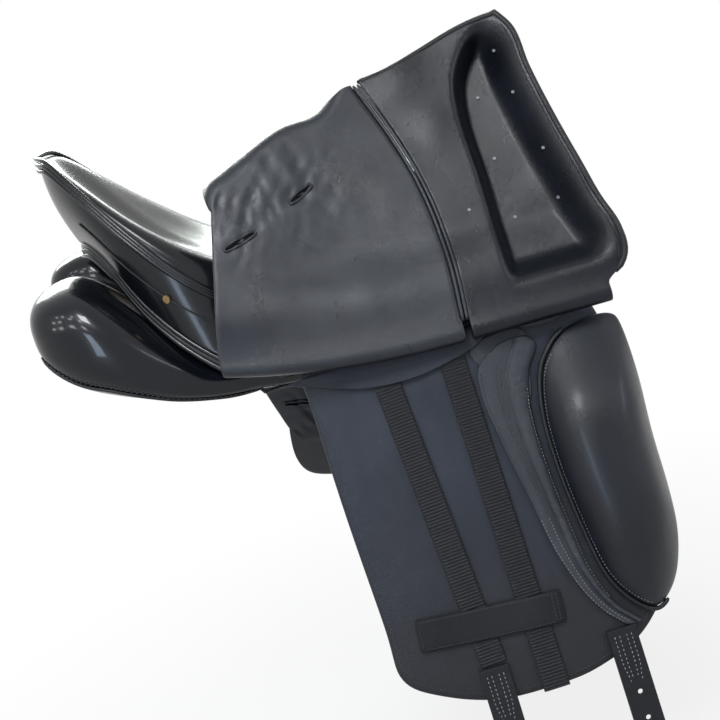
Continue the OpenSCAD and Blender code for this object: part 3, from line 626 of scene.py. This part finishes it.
# Seat
def seat():
    ring = [2 * math.pi * i / 96 for i in range(96)]
    rows = [[seat_pt(a, f) for a in ring] for f in (.02, .1, .2, .3, .4, .5, .6, .68, .76, .83, .89, .94)]
    rows += [[wall_pt(a, k) for a in ring] for k in (.07, .16, .26, .38, .5, .62, .75, .88, .96, 1)]
    rows += [[wall_pt(a, 1, -3) + Vector((0, 0, 1)) for a in ring]]
    obj = make("seat_leather", rows, ring=True)
    mesh = bmesh.new()
    mesh.from_mesh(obj.data)
    mesh.verts.ensure_lookup_table()
    mesh.faces.new([mesh.verts[i] for i in range(96)])
    bmesh.ops.recalc_face_normals(mesh, faces=mesh.faces)
    mesh.to_mesh(obj.data)
    mesh.free()
    settle(obj, SEAT_LEATHER, thick=2, levels=1, offset=-1)
    piece(obj, "saddle", "gloss_leather", "seat_cover", fill=0.8)
    half = math.radians(118)
    for i, k0 in enumerate((.075, .135, .195)):
        path = []
        for s in span(-half, half, 110):
            near = soft((abs(s) - math.radians(25)) / math.radians(65))
            path.append(wall_pt(math.pi + s, mix(k0, .34 + .02 * i, near), 1.3 - .5 * near))
        obj = tube("cantle_piping_%d" % (i + 1), path, 2.4, SEAT_LEATHER)
        piece(obj, "saddle", "gloss_leather")
    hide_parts("seat_piping")
    for side in (RIGHT, LEFT):
        seam = [wall_pt(side * math.radians(a), .62, .5) for a in span(62, 152, 80)]
        piece(tube("%s_skirt_seam" % SIDE_NAME[side], seam, .9, EDGE_LEATHER), "saddle", "leather")


def welts():
    ring = [2 * math.pi * i / 160 for i in range(160)]
    rows = [[wall_pt(a, 1, -inward) - Vector((0, 0, down)) for a in ring]
            for inward, down in ((3, -3), (5, 6), (9, 15), (20, 24), (40, 28))]
    piece(settle(make("panel_gusset", rows, ring=True), EDGE_LEATHER, thick=1.4), "saddle", "leather")
    for k in range(3):
        path = [wall_pt(a, 1, -2.4 + 1.2 * k) - Vector((0, 0, 3.0 + 5.0 * k)) for a in ring]
        material = EDGE_LEATHER if k == 1 else SEAT_LEATHER
        obj = piece(tube("panel_welt_%d" % (k + 1), path, 3.0, material, closed=True), "saddle", "leather")
        if k == 0:
            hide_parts("panel_welts")


# Panels
def panel(side):
    name = SIDE_NAME[side]
    flip = Matrix() if side == RIGHT else MIRROR
    xs = [-275.2, -274.5, -272.5, -269, -263, -254, -242, *range(-228, -115, 14), *range(-100, 141, 20),
          158, 174, 188, 198, 205, 208.5, 210]
    rows = []
    for x in xs:
        row = []
        for j in range(48):
            q = 2 * math.pi * j / 48
            p = panel_pt(x, q)
            swell = soft((-x - 90) / 80)
            p = panel_pt(x, q, 1.1 * wobble(p, 34, 3) * swell + 0.5 * wobble(p, 13, 5) * swell)
            row.append(flip @ p)
        rows.append(row)
    obj = settle(make(name + "_panel_leather", rows, ring=True, caps=True), PANEL_LEATHER, levels=1)
    piece(obj, "saddle", "gloss_leather", name + "_panel", fill=0.9)
    low = [flip @ panel_pt(x, math.radians(218), 0.6) for x in span(-272, 190, 150)]
    piece(tube(name + "_panel_welt", low, 1.7, EDGE_LEATHER), "saddle", "leather")
    seam = [flip @ panel_pt(x, math.radians(211), 0.4) for x in span(-268, 180, 120)]
    stitches(name + "_panel_stitches", [(seam, (0, side, -1))], THREAD_BLACK, "saddle", 5)


# Lofted leather pieces that lie on the curved sweat flap
def side_matrix(side):
    return SIDE if side == RIGHT else MIRROR @ SIDE


def outline_loft(name, side, outline, centre, low, top, rings=(1, .985, .95, .85, .65, .4, .15)):
    """Closed pad over an outline. low and top(share, point) are heights over the sweat flap's inner face."""
    matrix = side_matrix(side)
    loop = smooth_loop(outline)

    def row(f, height):
        points = [centre + (p - centre) * f for p in loop]
        return [matrix @ Vector((q.x, q.y, bend(q.x) + height(f, q))) for q in points]

    rows = [row(f, lambda *_: low) for f in reversed(rings)] + [row(f, top) for f in rings]
    return make(name, rows, ring=True, caps=True)


def inset_path(side, outline, centre, share, height, first, last, n=8):
    """Part of an outline, drawn in towards its centre, at a height over the sweat flap."""
    matrix = side_matrix(side)
    out = []
    for i in range(first, last + 1):
        for j in range(n):
            p = catmull(outline, i % len(outline), j / n)
            q = centre + (p - centre) * share
            out.append(matrix @ Vector((q.x, q.y, bend(q.x) + height)))
    return out


def out_of(side):
    return side_matrix(side).to_3x3() @ Vector((0, 0, 1))


def sweat_flap(side):
    name = SIDE_NAME[side]
    centre = Vector((110, -205))
    obj = outline_loft(name + "_sweat_flap_leather", side, SWEAT_K, centre, 0,
                       lambda f, q: SWEAT_T - (1.2 if f > .99 else 0))
    piece(settle(obj, SWEAT_LEATHER, levels=1), "saddle", "leather", name + "_sweat_flap")
    edge = inset_path(side, SWEAT_K, centre, 0.965, SWEAT_T + .1, 1, 13)
    stitches(name + "_sweat_flap_stitches", [(edge, out_of(side))], THREAD_BLACK, "saddle", 3.4)


def strap_rows(side, a, b, width, low, thick, along, across, shape=lambda s, t: 0.0):
    """Closed strap from a to b, as loft rows. shape adds height at a share along and across it."""
    a, b = Vector(a), Vector(b)
    d = (b - a).normalized()
    n = Vector((-d.y, d.x))
    matrix = side_matrix(side)
    rows = []
    for s in span(0, 1, along):
        row = []
        for top in (True, False):
            for t in span(-.5, .5, across) if top else span(.5, -.5, across):
                p = a.lerp(b, s) + n * width * t
                edge = min(1.0, (0.5 - abs(t)) * width / 0.9)
                height = bend(p.x) + low + (thick * (0.75 + 0.25 * edge) + shape(s, t) if top else 0.0)
                row.append(matrix @ Vector((p.x, p.y, height)))
        rows.append(row)
    return rows


def girth_webs(side):
    name = SIDE_NAME[side]
    for k, (a, b) in enumerate((REAR_WEB, FRONT_WEB)):
        length = (Vector(b) - Vector(a)).length
        ribs = round(length / 3.1)
        selvedge = 0.42
        rows = strap_rows(side, a, b, WEB_W, SWEAT_T + GAP, WEB_T - .5, ribs * 6, 10,
                          lambda s, t: 1.1 * abs(math.cos(math.pi * ribs * s)) if abs(t) < selvedge else 0.7)
        obj = settle(make("%s_girth_web_%d" % (name, k + 1), rows, ring=True, caps=True), WEBBING, levels=0)
        piece(obj, "saddle", "webbing")
    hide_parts(name + "_girth_webs")


def web_cover(side):
    name = SIDE_NAME[side]
    low = SWEAT_T + WEB_T + 2 * GAP
    centre = Vector((46, -50))
    obj = outline_loft(name + "_web_cover_leather", side, COVER_K, centre, low,
                       lambda f, q: low + 2.4 - (.9 if f > .99 else 0))
    piece(settle(obj, SWEAT_LEATHER, levels=1), "saddle", "leather", name + "_web_cover")
    edge = inset_path(side, COVER_K, centre, 0.955, low + 2.5, 1, 5)
    stitches(name + "_web_cover_stitches", [(edge, out_of(side))], THREAD_BLACK, "saddle", 3.0, 2.0)


def web_keeper(side):
    name = SIDE_NAME[side]
    low = SWEAT_T + WEB_T + 2 * GAP
    a, b = Vector(KEEPER_K[0]), Vector(KEEPER_K[1])

    def drape(s, t):
        over = max(soft(1 - abs(s - .35) / .12), soft(1 - abs(s - .77) / .12))
        return 0.5 * over - 2.0 * soft((abs(s - .5) - .46) / .04)

    rows = strap_rows(side, a, b, KEEPER_W, low, 2.4, 60, 10, drape)
    obj = settle(make(name + "_web_keeper_leather", rows, ring=True, caps=True), STRAP_LEATHER, levels=1)
    piece(obj, "saddle", "leather", name + "_web_keeper")
    d = (b - a).normalized()
    n = Vector((-d.y, d.x))
    matrix = side_matrix(side)

    def line(s0, t0, s1, t1):
        points = []
        for u in span(0, 1, 40):
            s = mix(s0, s1, u)
            p = a.lerp(b, s) + n * KEEPER_W * mix(t0, t1, u)
            height = bend(p.x) + low + 2.75 - 2.0 * soft((abs(s - .5) - .46) / .04)
            points.append(matrix @ Vector((p.x, p.y, height)))
        return points, out_of(side)

    rows_in = [line(.025, -.38, .025, .38), line(.965, -.4, .965, .4), line(.935, -.4, .935, .4),
               line(.03, .42, .93, .42), line(.03, -.42, .93, -.42)]
    stitches(name + "_web_keeper_stitches", rows_in, THREAD_BLACK, "saddle", 3.2)


def point_pocket(side):
    name = SIDE_NAME[side]
    low = SWEAT_T + GAP
    obj = outline_loft(name + "_point_pocket_leather", side, POCKET_K, Vector((193, -47)), low,
                       lambda f, q: low + 1.6 + 3.6 * (1 - f ** 3))
    piece(settle(obj, SOFT_LEATHER, levels=1), "saddle", "leather", name + "_point_pocket", fill=0.4)


# Knee pad: a flat stitched band and a wrinkled soft roll
BAND = 0.52


def knee_z(j):
    """Height across the pad: a flat stitched band, then a soft roll."""
    if j < BAND:
        return 3.4 + 0.6 * math.sin(math.pi * j / BAND)
    return 1.6 + 5.6 * max(0.0, math.sin(math.pi * (j - BAND) / (1 - BAND))) ** .5


def knee_pt(y, j, extra=0.0):
    x = mix(curve(y, KNEE_L), curve(y, KNEE_R), j)
    crease = 0.0
    if j > BAND:
        p = Vector((x, y * 2.2, 0))
        crease = 1.6 * abs(wobble(p, 17, 7)) + 1.0 * abs(wobble(p, 8, 2)) * soft((y - 200) / 90)
    return Vector((x, -y, bend(x) + SWEAT_T + GAP + knee_z(j) - crease + extra))


def knee_pad(side):
    name = SIDE_NAME[side]
    matrix = side_matrix(side)
    rows = []
    for y in span(62, 350, 110):
        top = [matrix @ knee_pt(y, j) for j in span(0, 1, 34)]
        low = []
        for j in span(1, 0, 6):
            x = mix(curve(y, KNEE_L), curve(y, KNEE_R), j)
            low.append(matrix @ Vector((x, -y, bend(x) + SWEAT_T + GAP)))
        rows.append(top + low)
    obj = settle(make(name + "_knee_pad_leather", rows, ring=True, caps=True), SOFT_LEATHER, levels=1)
    piece(obj, "saddle", "leather", name + "_knee_pad", fill=0.35)
    bead = [matrix @ knee_pt(y, BAND, .6) for y in span(80, 346, 90)]
    piece(tube(name + "_knee_pad_bead", bead, 1.1, SOFT_LEATHER), "saddle", "leather")
    out = out_of(side)
    black = [([matrix @ knee_pt(y, .06, .35) for y in span(84, 230, 60)], out),
             ([matrix @ knee_pt(y, .34, .35) for y in span(84, 230, 60)], out),
             ([matrix @ knee_pt(y, .42, .35) for y in span(84, 346, 90)], out)]
    pale = [([matrix @ knee_pt(y, .06, .35) for y in span(232, 346, 60)], out),
            ([matrix @ knee_pt(y, .34, .35) for y in span(232, 346, 60)], out),
            ([matrix @ knee_pt(y, .95, .5) for y in span(110, 320, 90)], out)]
    stitches(name + "_knee_pad_stitches", black, THREAD_BLACK, "saddle", 3.0, 1.9, .4)
    stitches(name + "_knee_pad_pale_stitches", pale, THREAD_PALE, "saddle", *PALE_STITCH)


def knee_facing(side):
    """Flat facing that fills the corner above the knee pad."""
    name = SIDE_NAME[side]
    low = SWEAT_T + 2 * GAP
    loop = [(118, -60), (150, -52), (174, -58), (168, -92), (160, -122), (141, -112), (128, -88)]
    obj = outline_loft(name + "_knee_facing", side, loop, Vector((146, -84)), low - GAP,
                       lambda f, q: low + (1.2 if f < 1 else .3))
    piece(settle(obj, SOFT_LEATHER, levels=1), "saddle", "leather")


# Thigh block
BLOCK_F = [(0, 1), (.15, 1), (.4, .95), (.66, .76), (.88, .42), (.97, .22), (1, .12)]


def block_low(y):
    return 0.5 + 0.5 * soft((-y - 62) / 90)


def block_z(f, q):
    return SWEAT_T + 2 * GAP + BLOCK_H * curve(f, BLOCK_F) * block_low(q.y)


def block(side):
    name = SIDE_NAME[side]
    obj = outline_loft(name + "_block_leather", side, BLOCK_K, BLOCK_C, SWEAT_T + 2 * GAP, block_z,
                       (1, .985, .96, .92, .87, .8, .72, .64, .55, .45, .35, .25, .14, .05))
    piece(settle(obj, BLOCK_LEATHER, levels=1), "saddle", "gloss_leather", name + "_block", fill=0.95)
    rim = inset_path(side, BLOCK_K, BLOCK_C, 1.015, SWEAT_T + 5.5, 10, 18, 8)
    obj = piece(tube(name + "_block_rim", rim, 2.2, EDGE_LEATHER), "saddle", "leather")
    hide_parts(name + "_block_piping")
    seam = inset_path(side, BLOCK_K, BLOCK_C, .965, SWEAT_T + 10.5, 11, 17, 8)
    stitches(name + "_block_stitches", [(seam, out_of(side))], THREAD_PALE, "saddle", *PALE_STITCH)


# Flaps
def flap_place(side):
    angle = 0.0 if side == RIGHT else RAISE
    return flap_matrix(angle) if side == RIGHT else MIRROR @ flap_matrix(angle)


# Section of the roll: (z, height)
CURL = [(-7.2, 1.0), (-6.6, -3.2), (-3.9, -6.4), (0.0, -7.5), (3.9, -6.4), (6.6, -3.6), (7.4, 0.5), (7.2, 5.0)]


def curl_rows(xs, rise):
    """The rolled edge below the flap, from the grain side under and up to the underside."""
    return [[Vector((x, h + up, z)) for x, up in zip(xs, rise)] for z, h in CURL]


def lean_out(h, start):
    """How far the sheet stands off its mid plane: it swells above the roll, then comes back to the plane."""
    rise = max(0.0, h - start)
    return 7.0 * (1 - soft(rise / 90)) + 6.0 * math.sin(math.pi * min(1.0, rise / 96)) ** 2


def rear_rise(u):
    """How far the fold climbs towards its rear end."""
    return 15 * (1 - u) ** 2.2


def crest_dip(u):
    """How far the folded edge sinks below a straight crease, near the welt and at the round rear corner."""
    return 15 * math.exp(-((u - .80) / .17) ** 2) * soft((1 - u) / .10) + 12 * max(0.0, 1 - u / .09) ** 2


CREASED = ((-48, 158), (-20, 176), (5, 182))


def crumple(p):
    """Slow waves of the flap, with sharper creases around the keeper's slots and along the rear edge."""
    waves = 1.3 * wobble(p, 62, 1) + 0.5 * wobble(p, 27, 9)
    near = max(math.exp(-((p.x - x) ** 2 + (p.y - h) ** 2) / 1500) for x, h in CREASED)
    crease = 1 - abs(wobble(Vector((p.x * 1.4 - p.y * 0.5, p.y + p.x * 0.4, 0)), 20, 6)) * 2.4
    return waves * soft(p.y / 60) + 2.6 * near * crease


def flap_rear(side):
    name = SIDE_NAME[side]
    matrix = flap_place(side)
    fold = TAIL_FOLD if side == RIGHT else 0.0
    us = span(0, 1, 40)
    start = [15 * (1 - u) ** 2 for u in us]
    xs, rise = [mix(-109, 118, u) for u in us], [r + rear_rise(u) for r, u in zip(start, us)]
    rows = [[matrix @ p for p in row] for row in curl_rows(xs, rise)]
    for v in span(0.04, 1, 34):
        row = []
        for u, up in zip(us, start):
            p = rear_pt(u, v)
            p.z += lean_out(p.y - up, ROLL_R) + crumple(p)
            p.y += rear_rise(u) * (1 - v) ** 3 - crest_dip(u) * v ** 4
            row.append(matrix @ p)
        rows.append(row)
    for row in tail_rows(us, fold):
        rows.append([matrix @ p for p in row])
    # The rim gets the pale cut-edge leather, which is partly a painted edge highlight
    obj = settle(make(name + "_flap_leather", rows), FLAP_LEATHER, thick=FLAP_T, levels=1, rim=CUT_EDGE_AND_HIGHLIGHT)
    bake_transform(obj)
    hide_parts(name + "_flap", name + "_flap_tail", name + "_flap_fold")


TAIL_K = [(0, 0), (.03, 18), (.08, 36), (.18, 56), (.34, 62), (.56, 52), (.8, 27), (1, 0)]


def tail_rows(us, fold):
    """Rows beyond the crease. The sheet turns over it by fold degrees, within a short curl."""
    along = (CREASE_B - CREASE_A).normalized()
    normal = Vector((0, 0, 1))
    normal = (normal - along * normal.dot(along)).normalized()
    out_dir = normal.cross(along)
    rows = []
    for share in span(0, 1, 12)[1:]:
        row = []
        for u in us:
            reach = max(0.3, curve(u, TAIL_K)) * share
            y = z = 0.0
            steps = 10
            for k in range(steps):
                angle = math.radians(fold) * soft((k + .5) / steps * reach / 26)
                y += math.cos(angle) * reach / steps
                z -= math.sin(angle) * reach / steps
            edge = CREASE_A + along * CREASE_L * u + out_dir * y + normal * z
            row.append(edge + Vector((0, -crest_dip(u), crumple(edge) * (1 - share))))
        rows.append(row)
    return rows


def front_swell(p):
    """Slow waves of the front part, with a soft swelling between the welt and the ridge."""
    crest = math.exp(-((p.x - 128) / 26) ** 2 - ((p.y - 262) / 34) ** 2)
    lower = math.exp(-((p.x - 150) / 18) ** 2 - ((p.y - 200) / 26) ** 2)
    return 0.8 * wobble(p, 46, 4) + 3.0 * crest + 2.0 * lower


def flap_front(side):
    name = SIDE_NAME[side]
    matrix = flap_place(side)
    us = span(0, 1, 60)
    xs = [mix(124.5, 260, u) for u in us]
    rows = [[matrix @ p for p in row] for row in curl_rows(xs, [0.0] * len(us))]
    for v in span(0.0, 1, 60):
        row = []
        for u in us:
            p = front_pt(u, v)
            p.z += lean_out(p.y, ROLL_R) + front_swell(p) * soft(v * 3)
            row.append(matrix @ p)
        rows.append(row)
    # The front part takes the darker copy of the flap leather, which holds painted shade of the recess
    obj = settle(make(name + "_flap_front_leather", rows), RECESS_SHADED_LEATHER, thick=FLAP_T, levels=1)
    piece(obj, name + "_flap", "leather", name + "_flap_front")
    edge = []
    for v in span(0.02, 1, 60):
        p = front_pt(1, v)
        edge.append(matrix @ (p + Vector((-1.0, 0, lean_out(p.y, ROLL_R)))))
    for u in span(1, 0, 30)[1:]:
        p = front_pt(u, 1)
        edge.append(matrix @ (p + Vector((0, -1.0, 0))))
    piece(tube(name + "_flap_binding", edge, 3.1, EDGE_LEATHER), name + "_flap", "leather")
    bead = [front_pt(.955, v) for v in span(0.05, .95, 60)]
    inner = [matrix @ (p + Vector((0, 0, FLAP_T / 2 + .2 + lean_out(p.y, ROLL_R)))) for p in bead]
    piece(tube(name + "_flap_inner_bead", inner, .7, EDGE_LEATHER), name + "_flap", "leather")


def flap_welts(side):
    name = SIDE_NAME[side]
    matrix = flap_place(side)
    out = matrix.to_3x3() @ Vector((0, 0, 1))

    def line(shift, height):
        points = []
        for v in span(0.0, .995, 70):
            p = rear_pt(1, v)
            z = flap_z(p.x, p.y) + lean_out(p.y, ROLL_R) + height
            points.append(matrix @ Vector((p.x + 3.2 + shift, p.y, z)))
        return points

    for k, s in enumerate((-2.1, 2.1)):
        obj = tube("%s_flap_welt_%d" % (name, k + 1), line(s, 1.3), 1.9, FLAP_LEATHER)
        piece(obj, name + "_flap", "leather")
    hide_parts(name + "_flap_welt")
    seams = [(line(s, FLAP_T / 2 + .15), out) for s in (-7.5, -5.5, 7.0)]
    stitches(name + "_flap_welt_stitches", seams, THREAD_BLACK, name + "_flap", 2.8, 1.8, .36)


SLOTS = ((-60, 140, 18, 17.0), (7, 172, 29, 13.5))
LIP_R, SLIT_W = 1.5, 1.9


def rear_surface(x, h):
    """The point of the rear part's grain side at x and h, found by closing in on its own coordinates."""
    u, v = 0.5, 0.5
    for _ in range(12):
        foot = ROLL_R + GAP + 15 * (1 - u) ** 2
        v = min(1.0, max(0.0, (h - foot) / (mix(187, 268, u) - foot)))
        shift = 18 * math.sin(math.pi * v)
        u = min(1.0, max(0.0, (x - mix(-109, -79, v)) / (mix(118, 84, v) + shift - mix(-109, -79, v))))
    p = rear_pt(u, v)
    p.z += lean_out(p.y - 15 * (1 - u) ** 2, ROLL_R) + crumple(p)
    return p


def flap_slots(side):
    """The keeper's two slits, each with a raised lip round its dark opening."""
    name = SIDE_NAME[side]
    matrix = flap_place(side)
    turns = [2 * math.pi * j / 40 for j in range(40)]
    for k, (x, h, turn, half) in enumerate(SLOTS):
        def spot(a, b, up):
            p = rear_surface(*(rot(turn, "Z") @ Vector((a, b, 0)) + Vector((x, h, 0))).xy)
            return matrix @ (p + Vector((0, 0, FLAP_T / 2 + up)))

        rim = [spot(half * math.cos(q), (SLIT_W + 1.1) * round_pow(math.sin(q), .5), .35) for q in turns]
        lip = tube("%s_slot_lip_%d" % (name, k + 1), rim, LIP_R, FLAP_LEATHER, closed=True)
        piece(lip, name + "_flap", "leather")
        rows = [[spot((half - .6) * f * math.cos(q), SLIT_W * f * round_pow(math.sin(q), .5), .35)
                 for q in turns] for f in (1, .8, .5, .2)]
        obj = settle(make("%s_slot_shadow_%d" % (name, k + 1), rows, ring=True), SLIT, thick=.5)
        piece(obj, name + "_flap", "leather")


def keeper(side):
    name = SIDE_NAME[side]
    matrix = flap_place(side)
    (ax, ay), (bx, by) = (-75, 138), (5, 170)
    a = Vector((ax, ay, flap_z(ax, ay) - FLAP_T / 2))
    b = Vector((bx, by, flap_z(bx, by) - FLAP_T / 2))
    along = (b - a).normalized()
    length = (b - a).length
    across = Vector((0, 0, 1)).cross(along).normalized()
    down = -along.cross(across)
    start = [(-1, -.6), (-1.2, 3), (-1, 7), (1.5, 10.4), (8, 11.4)]
    profile = start + [(s, 11.2) for s in span(16, length - 16, 8)] + [(length - s, d) for s, d in start[::-1]]
    rows = [[matrix @ (a + along * s + down * d + across * t) for t in span(-10.5, 10.5, 8)]
            for s, d in profile]
    obj = settle(make(name + "_keeper_leather", rows), STRAP_LEATHER, thick=2.2, levels=1)
    piece(obj, name + "_flap", "leather", name + "_keeper")


def skirt(side):
    name = SIDE_NAME[side]
    matrix = flap_place(side)
    rows = []
    for v in span(0, 1, 16):
        row = []
        for u in span(0, 1, 30):
            x = mix(-52, 160, u) + 12 * v * (1 - 2 * u)
            h = mix(ROLL_R + GAP + 3, 42 - 12 * (2 * u - 1) ** 4, v)
            row.append(matrix @ Vector((x, h, flap_z(x, h) - FLAP_T / 2 - GAP - 1.3)))
        rows.append(row)
    obj = settle(make(name + "_skirt_leather", rows), FLAP_LEATHER, thick=2.6, levels=1)
    piece(obj, name + "_flap", "leather", name + "_skirt")


def hanger(side):
    name = SIDE_NAME[side]
    flip = Matrix() if side == RIGHT else MIRROR
    rows = [[flip @ hang_pt(u, v) for u in span(0, 1, 36)] for v in span(0, 1, 14)]
    obj = settle(make(name + "_hanger_leather", rows), SWEAT_LEATHER, thick=2.8, levels=1)
    piece(obj, "saddle", "leather", name + "_hanger")


# Nodes kept as they are: each gets its own material
KEPT = {"tree": TIMBER, "seat_foam": FOAM, "seat_webbing": JUTE, "saddle_nails": BRASS, "head_plate": STEEL,
        "tree_springs": STEEL, "stirrup_bars": STEEL}
KEPT_ENDS = {"_flock": WOOL, "_tacks": TACK, "_catch": STEEL, "_dee": STEEL}


def dress_nodes():
    for node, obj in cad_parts.items():
        by_end = next((m for end, m in KEPT_ENDS.items() if node.endswith(end)), STRAP_LEATHER)
        obj.data.materials.clear()
        obj.data.materials.append(KEPT.get(node, by_end))
        for face in obj.data.polygons:
            face.material_index = 0


def billet_stitches(side):
    """Two stitched rows down the folded top of each billet."""
    name = SIDE_NAME[side]
    flip = Matrix() if side == RIGHT else MIRROR
    for which, x in (("rear", 51), ("point", 176)):
        z = bend(mix(x, 118, .21)) + SWEAT_T + GAP + 4.1
        paths = []
        for shift in (-8, -3.5, 3.5, 8):
            points = [flip @ SIDE @ Vector((x + shift * (1 - .3 * soft((s - .6) / .4)), mix(-356, -400, s), z))
                      for s in span(0, 1, 12)]
            paths.append((points, out_of(side)))
        billet = "%s_%s_billet" % (name, which)
        stitches(billet + "_stitches", paths, THREAD_PALE, billet, 4.2, 2.2, .45)


# Pale rim of the flap's thickness: partly the cut edge's own lighter colour, partly a painted edge highlight
CUT_EDGE_AND_HIGHLIGHT = leather("cut_edge_and_highlight", (.030, .030, .032), (.060, .058, .056), rough=.45,
                   grain=.0001, grain_scale=900, specular=.5, wave=.0003, scuff=.6)
SLIT = leather("slit_dark", (.001, .001, .0012), (.002, .002, .0025), rough=.8, specular=.1)


# Studio
def emit_white(nodes, links, base, share, shader):
    """White to the camera and in reflections, by share, with the base shader for all other light."""
    path = nodes.new("ShaderNodeLightPath").outputs
    seen = math_node(nodes, links, "MAXIMUM", path["Is Camera Ray"], path["Is Glossy Ray"])
    seen = math_node(nodes, links, "MAXIMUM", seen, path["Is Transmission Ray"])
    white = nodes.new(shader)
    white.inputs["Color"].default_value = (1, 1, 1, 1)
    white.inputs["Strength"].default_value = 1
    blend = nodes.new("ShaderNodeMixShader")
    links.new(math_node(nodes, links, "MULTIPLY", seen, share), blend.inputs["Fac"])
    links.new(base, blend.inputs[1])
    links.new(white.outputs[0], blend.inputs[2])
    return blend


def studio():
    bpy.context.scene.view_settings.view_transform = "Standard"
    world = bpy.data.worlds.new("studio_world")
    world.use_nodes = True
    nodes, links = world.node_tree.nodes, world.node_tree.links
    fill = nodes["Background"]
    fill.inputs["Color"].default_value = (0.86, 0.92, 1, 1)
    fill.inputs["Strength"].default_value = 0.13
    blend = emit_white(nodes, links, fill.outputs[0], 1.0, "ShaderNodeBackground")
    links.new(blend.outputs[0], nodes["World Output"].inputs["Surface"])
    bpy.context.scene.world = world

    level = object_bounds()[0][2] - 0.004
    half = 3.0
    data = bpy.data.meshes.new("floor")
    corners = [(x * half, y * half, level) for x, y in ((-1, -1), (1, -1), (1, 1), (-1, 1))]
    data.from_pydata(corners, [], [(0, 1, 2, 3)])
    floor = new_object("floor", data)
    material, nodes, links, shader = node_material("pale_floor")
    shader.inputs["Base Color"].default_value = (.36, .36, .37, 1)
    shader.inputs["Roughness"].default_value = .8
    coords = nodes.new("ShaderNodeTexCoord")
    reach = nodes.new("ShaderNodeVectorMath")
    reach.operation = "LENGTH"
    links.new(coords.outputs["Object"], reach.inputs[0])
    low_tint = ramp(nodes, links, reach.outputs["Value"], [(0.25, 0.72), (0.95, 1.0)])
    blend = emit_white(nodes, links, shader.outputs[0], low_tint.outputs["Color"], "ShaderNodeEmission")
    links.new(blend.outputs[0], nodes["Material Output"].inputs["Surface"])
    data.materials.append(material)

    def lamp(name, place, aim, size, power, colour=(1, 1, 1), size_y=None):
        light = bpy.data.lights.new(name, "AREA")
        light.energy = power
        light.color = colour
        light.shape = "RECTANGLE"
        light.size = size
        light.size_y = size_y or size
        obj = new_object(name, light)
        obj.location = place
        obj.rotation_euler = (Vector(aim) - Vector(place)).to_track_quat("-Z", "Y").to_euler()

    lamp("window_back", (-0.35, 1.5, 0.95), (-0.1, 0, 0.1), 1.5, 55, (.93, 1, .94), 0.9)
    lamp("window_top", (-0.22, -1.32, 1.6), (-0.02, -0.12, 0.1), 0.55, 30, (.95, .98, 1))
    lamp("window_low", (-0.95, -1.75, 0.15), (-0.05, -0.1, 0), 0.3, 8, (.66, .80, 1), 0.8)
    for k in range(11):
        across, high = (k % 4) * 0.52 + random.uniform(-.1, .1), (k // 4) * 0.5 + random.uniform(-.1, .1)
        spot = (-2.1 + across, -0.9 - 0.25 * across, 0.7 + high)
        lamp("leaf_light_%d" % k, spot, (-0.15, -0.1, 0), 0.17, 1.1)
    lamp("window_right", (1.5, -0.9, 0.6), (0.2, -0.15, 0), 0.5, 7, (.9, .95, 1), 0.9)


random.seed(7)
seat()
welts()
for where in (RIGHT, LEFT):
    panel(where)
    sweat_flap(where)
    girth_webs(where)
    web_cover(where)
    web_keeper(where)
    point_pocket(where)
    knee_pad(where)
    knee_facing(where)
    block(where)
    hanger(where)
    flap_rear(where)
    flap_front(where)
    flap_welts(where)
    flap_slots(where)
    keeper(where)
    skirt(where)
    billet_stitches(where)
dress_nodes()
studio()
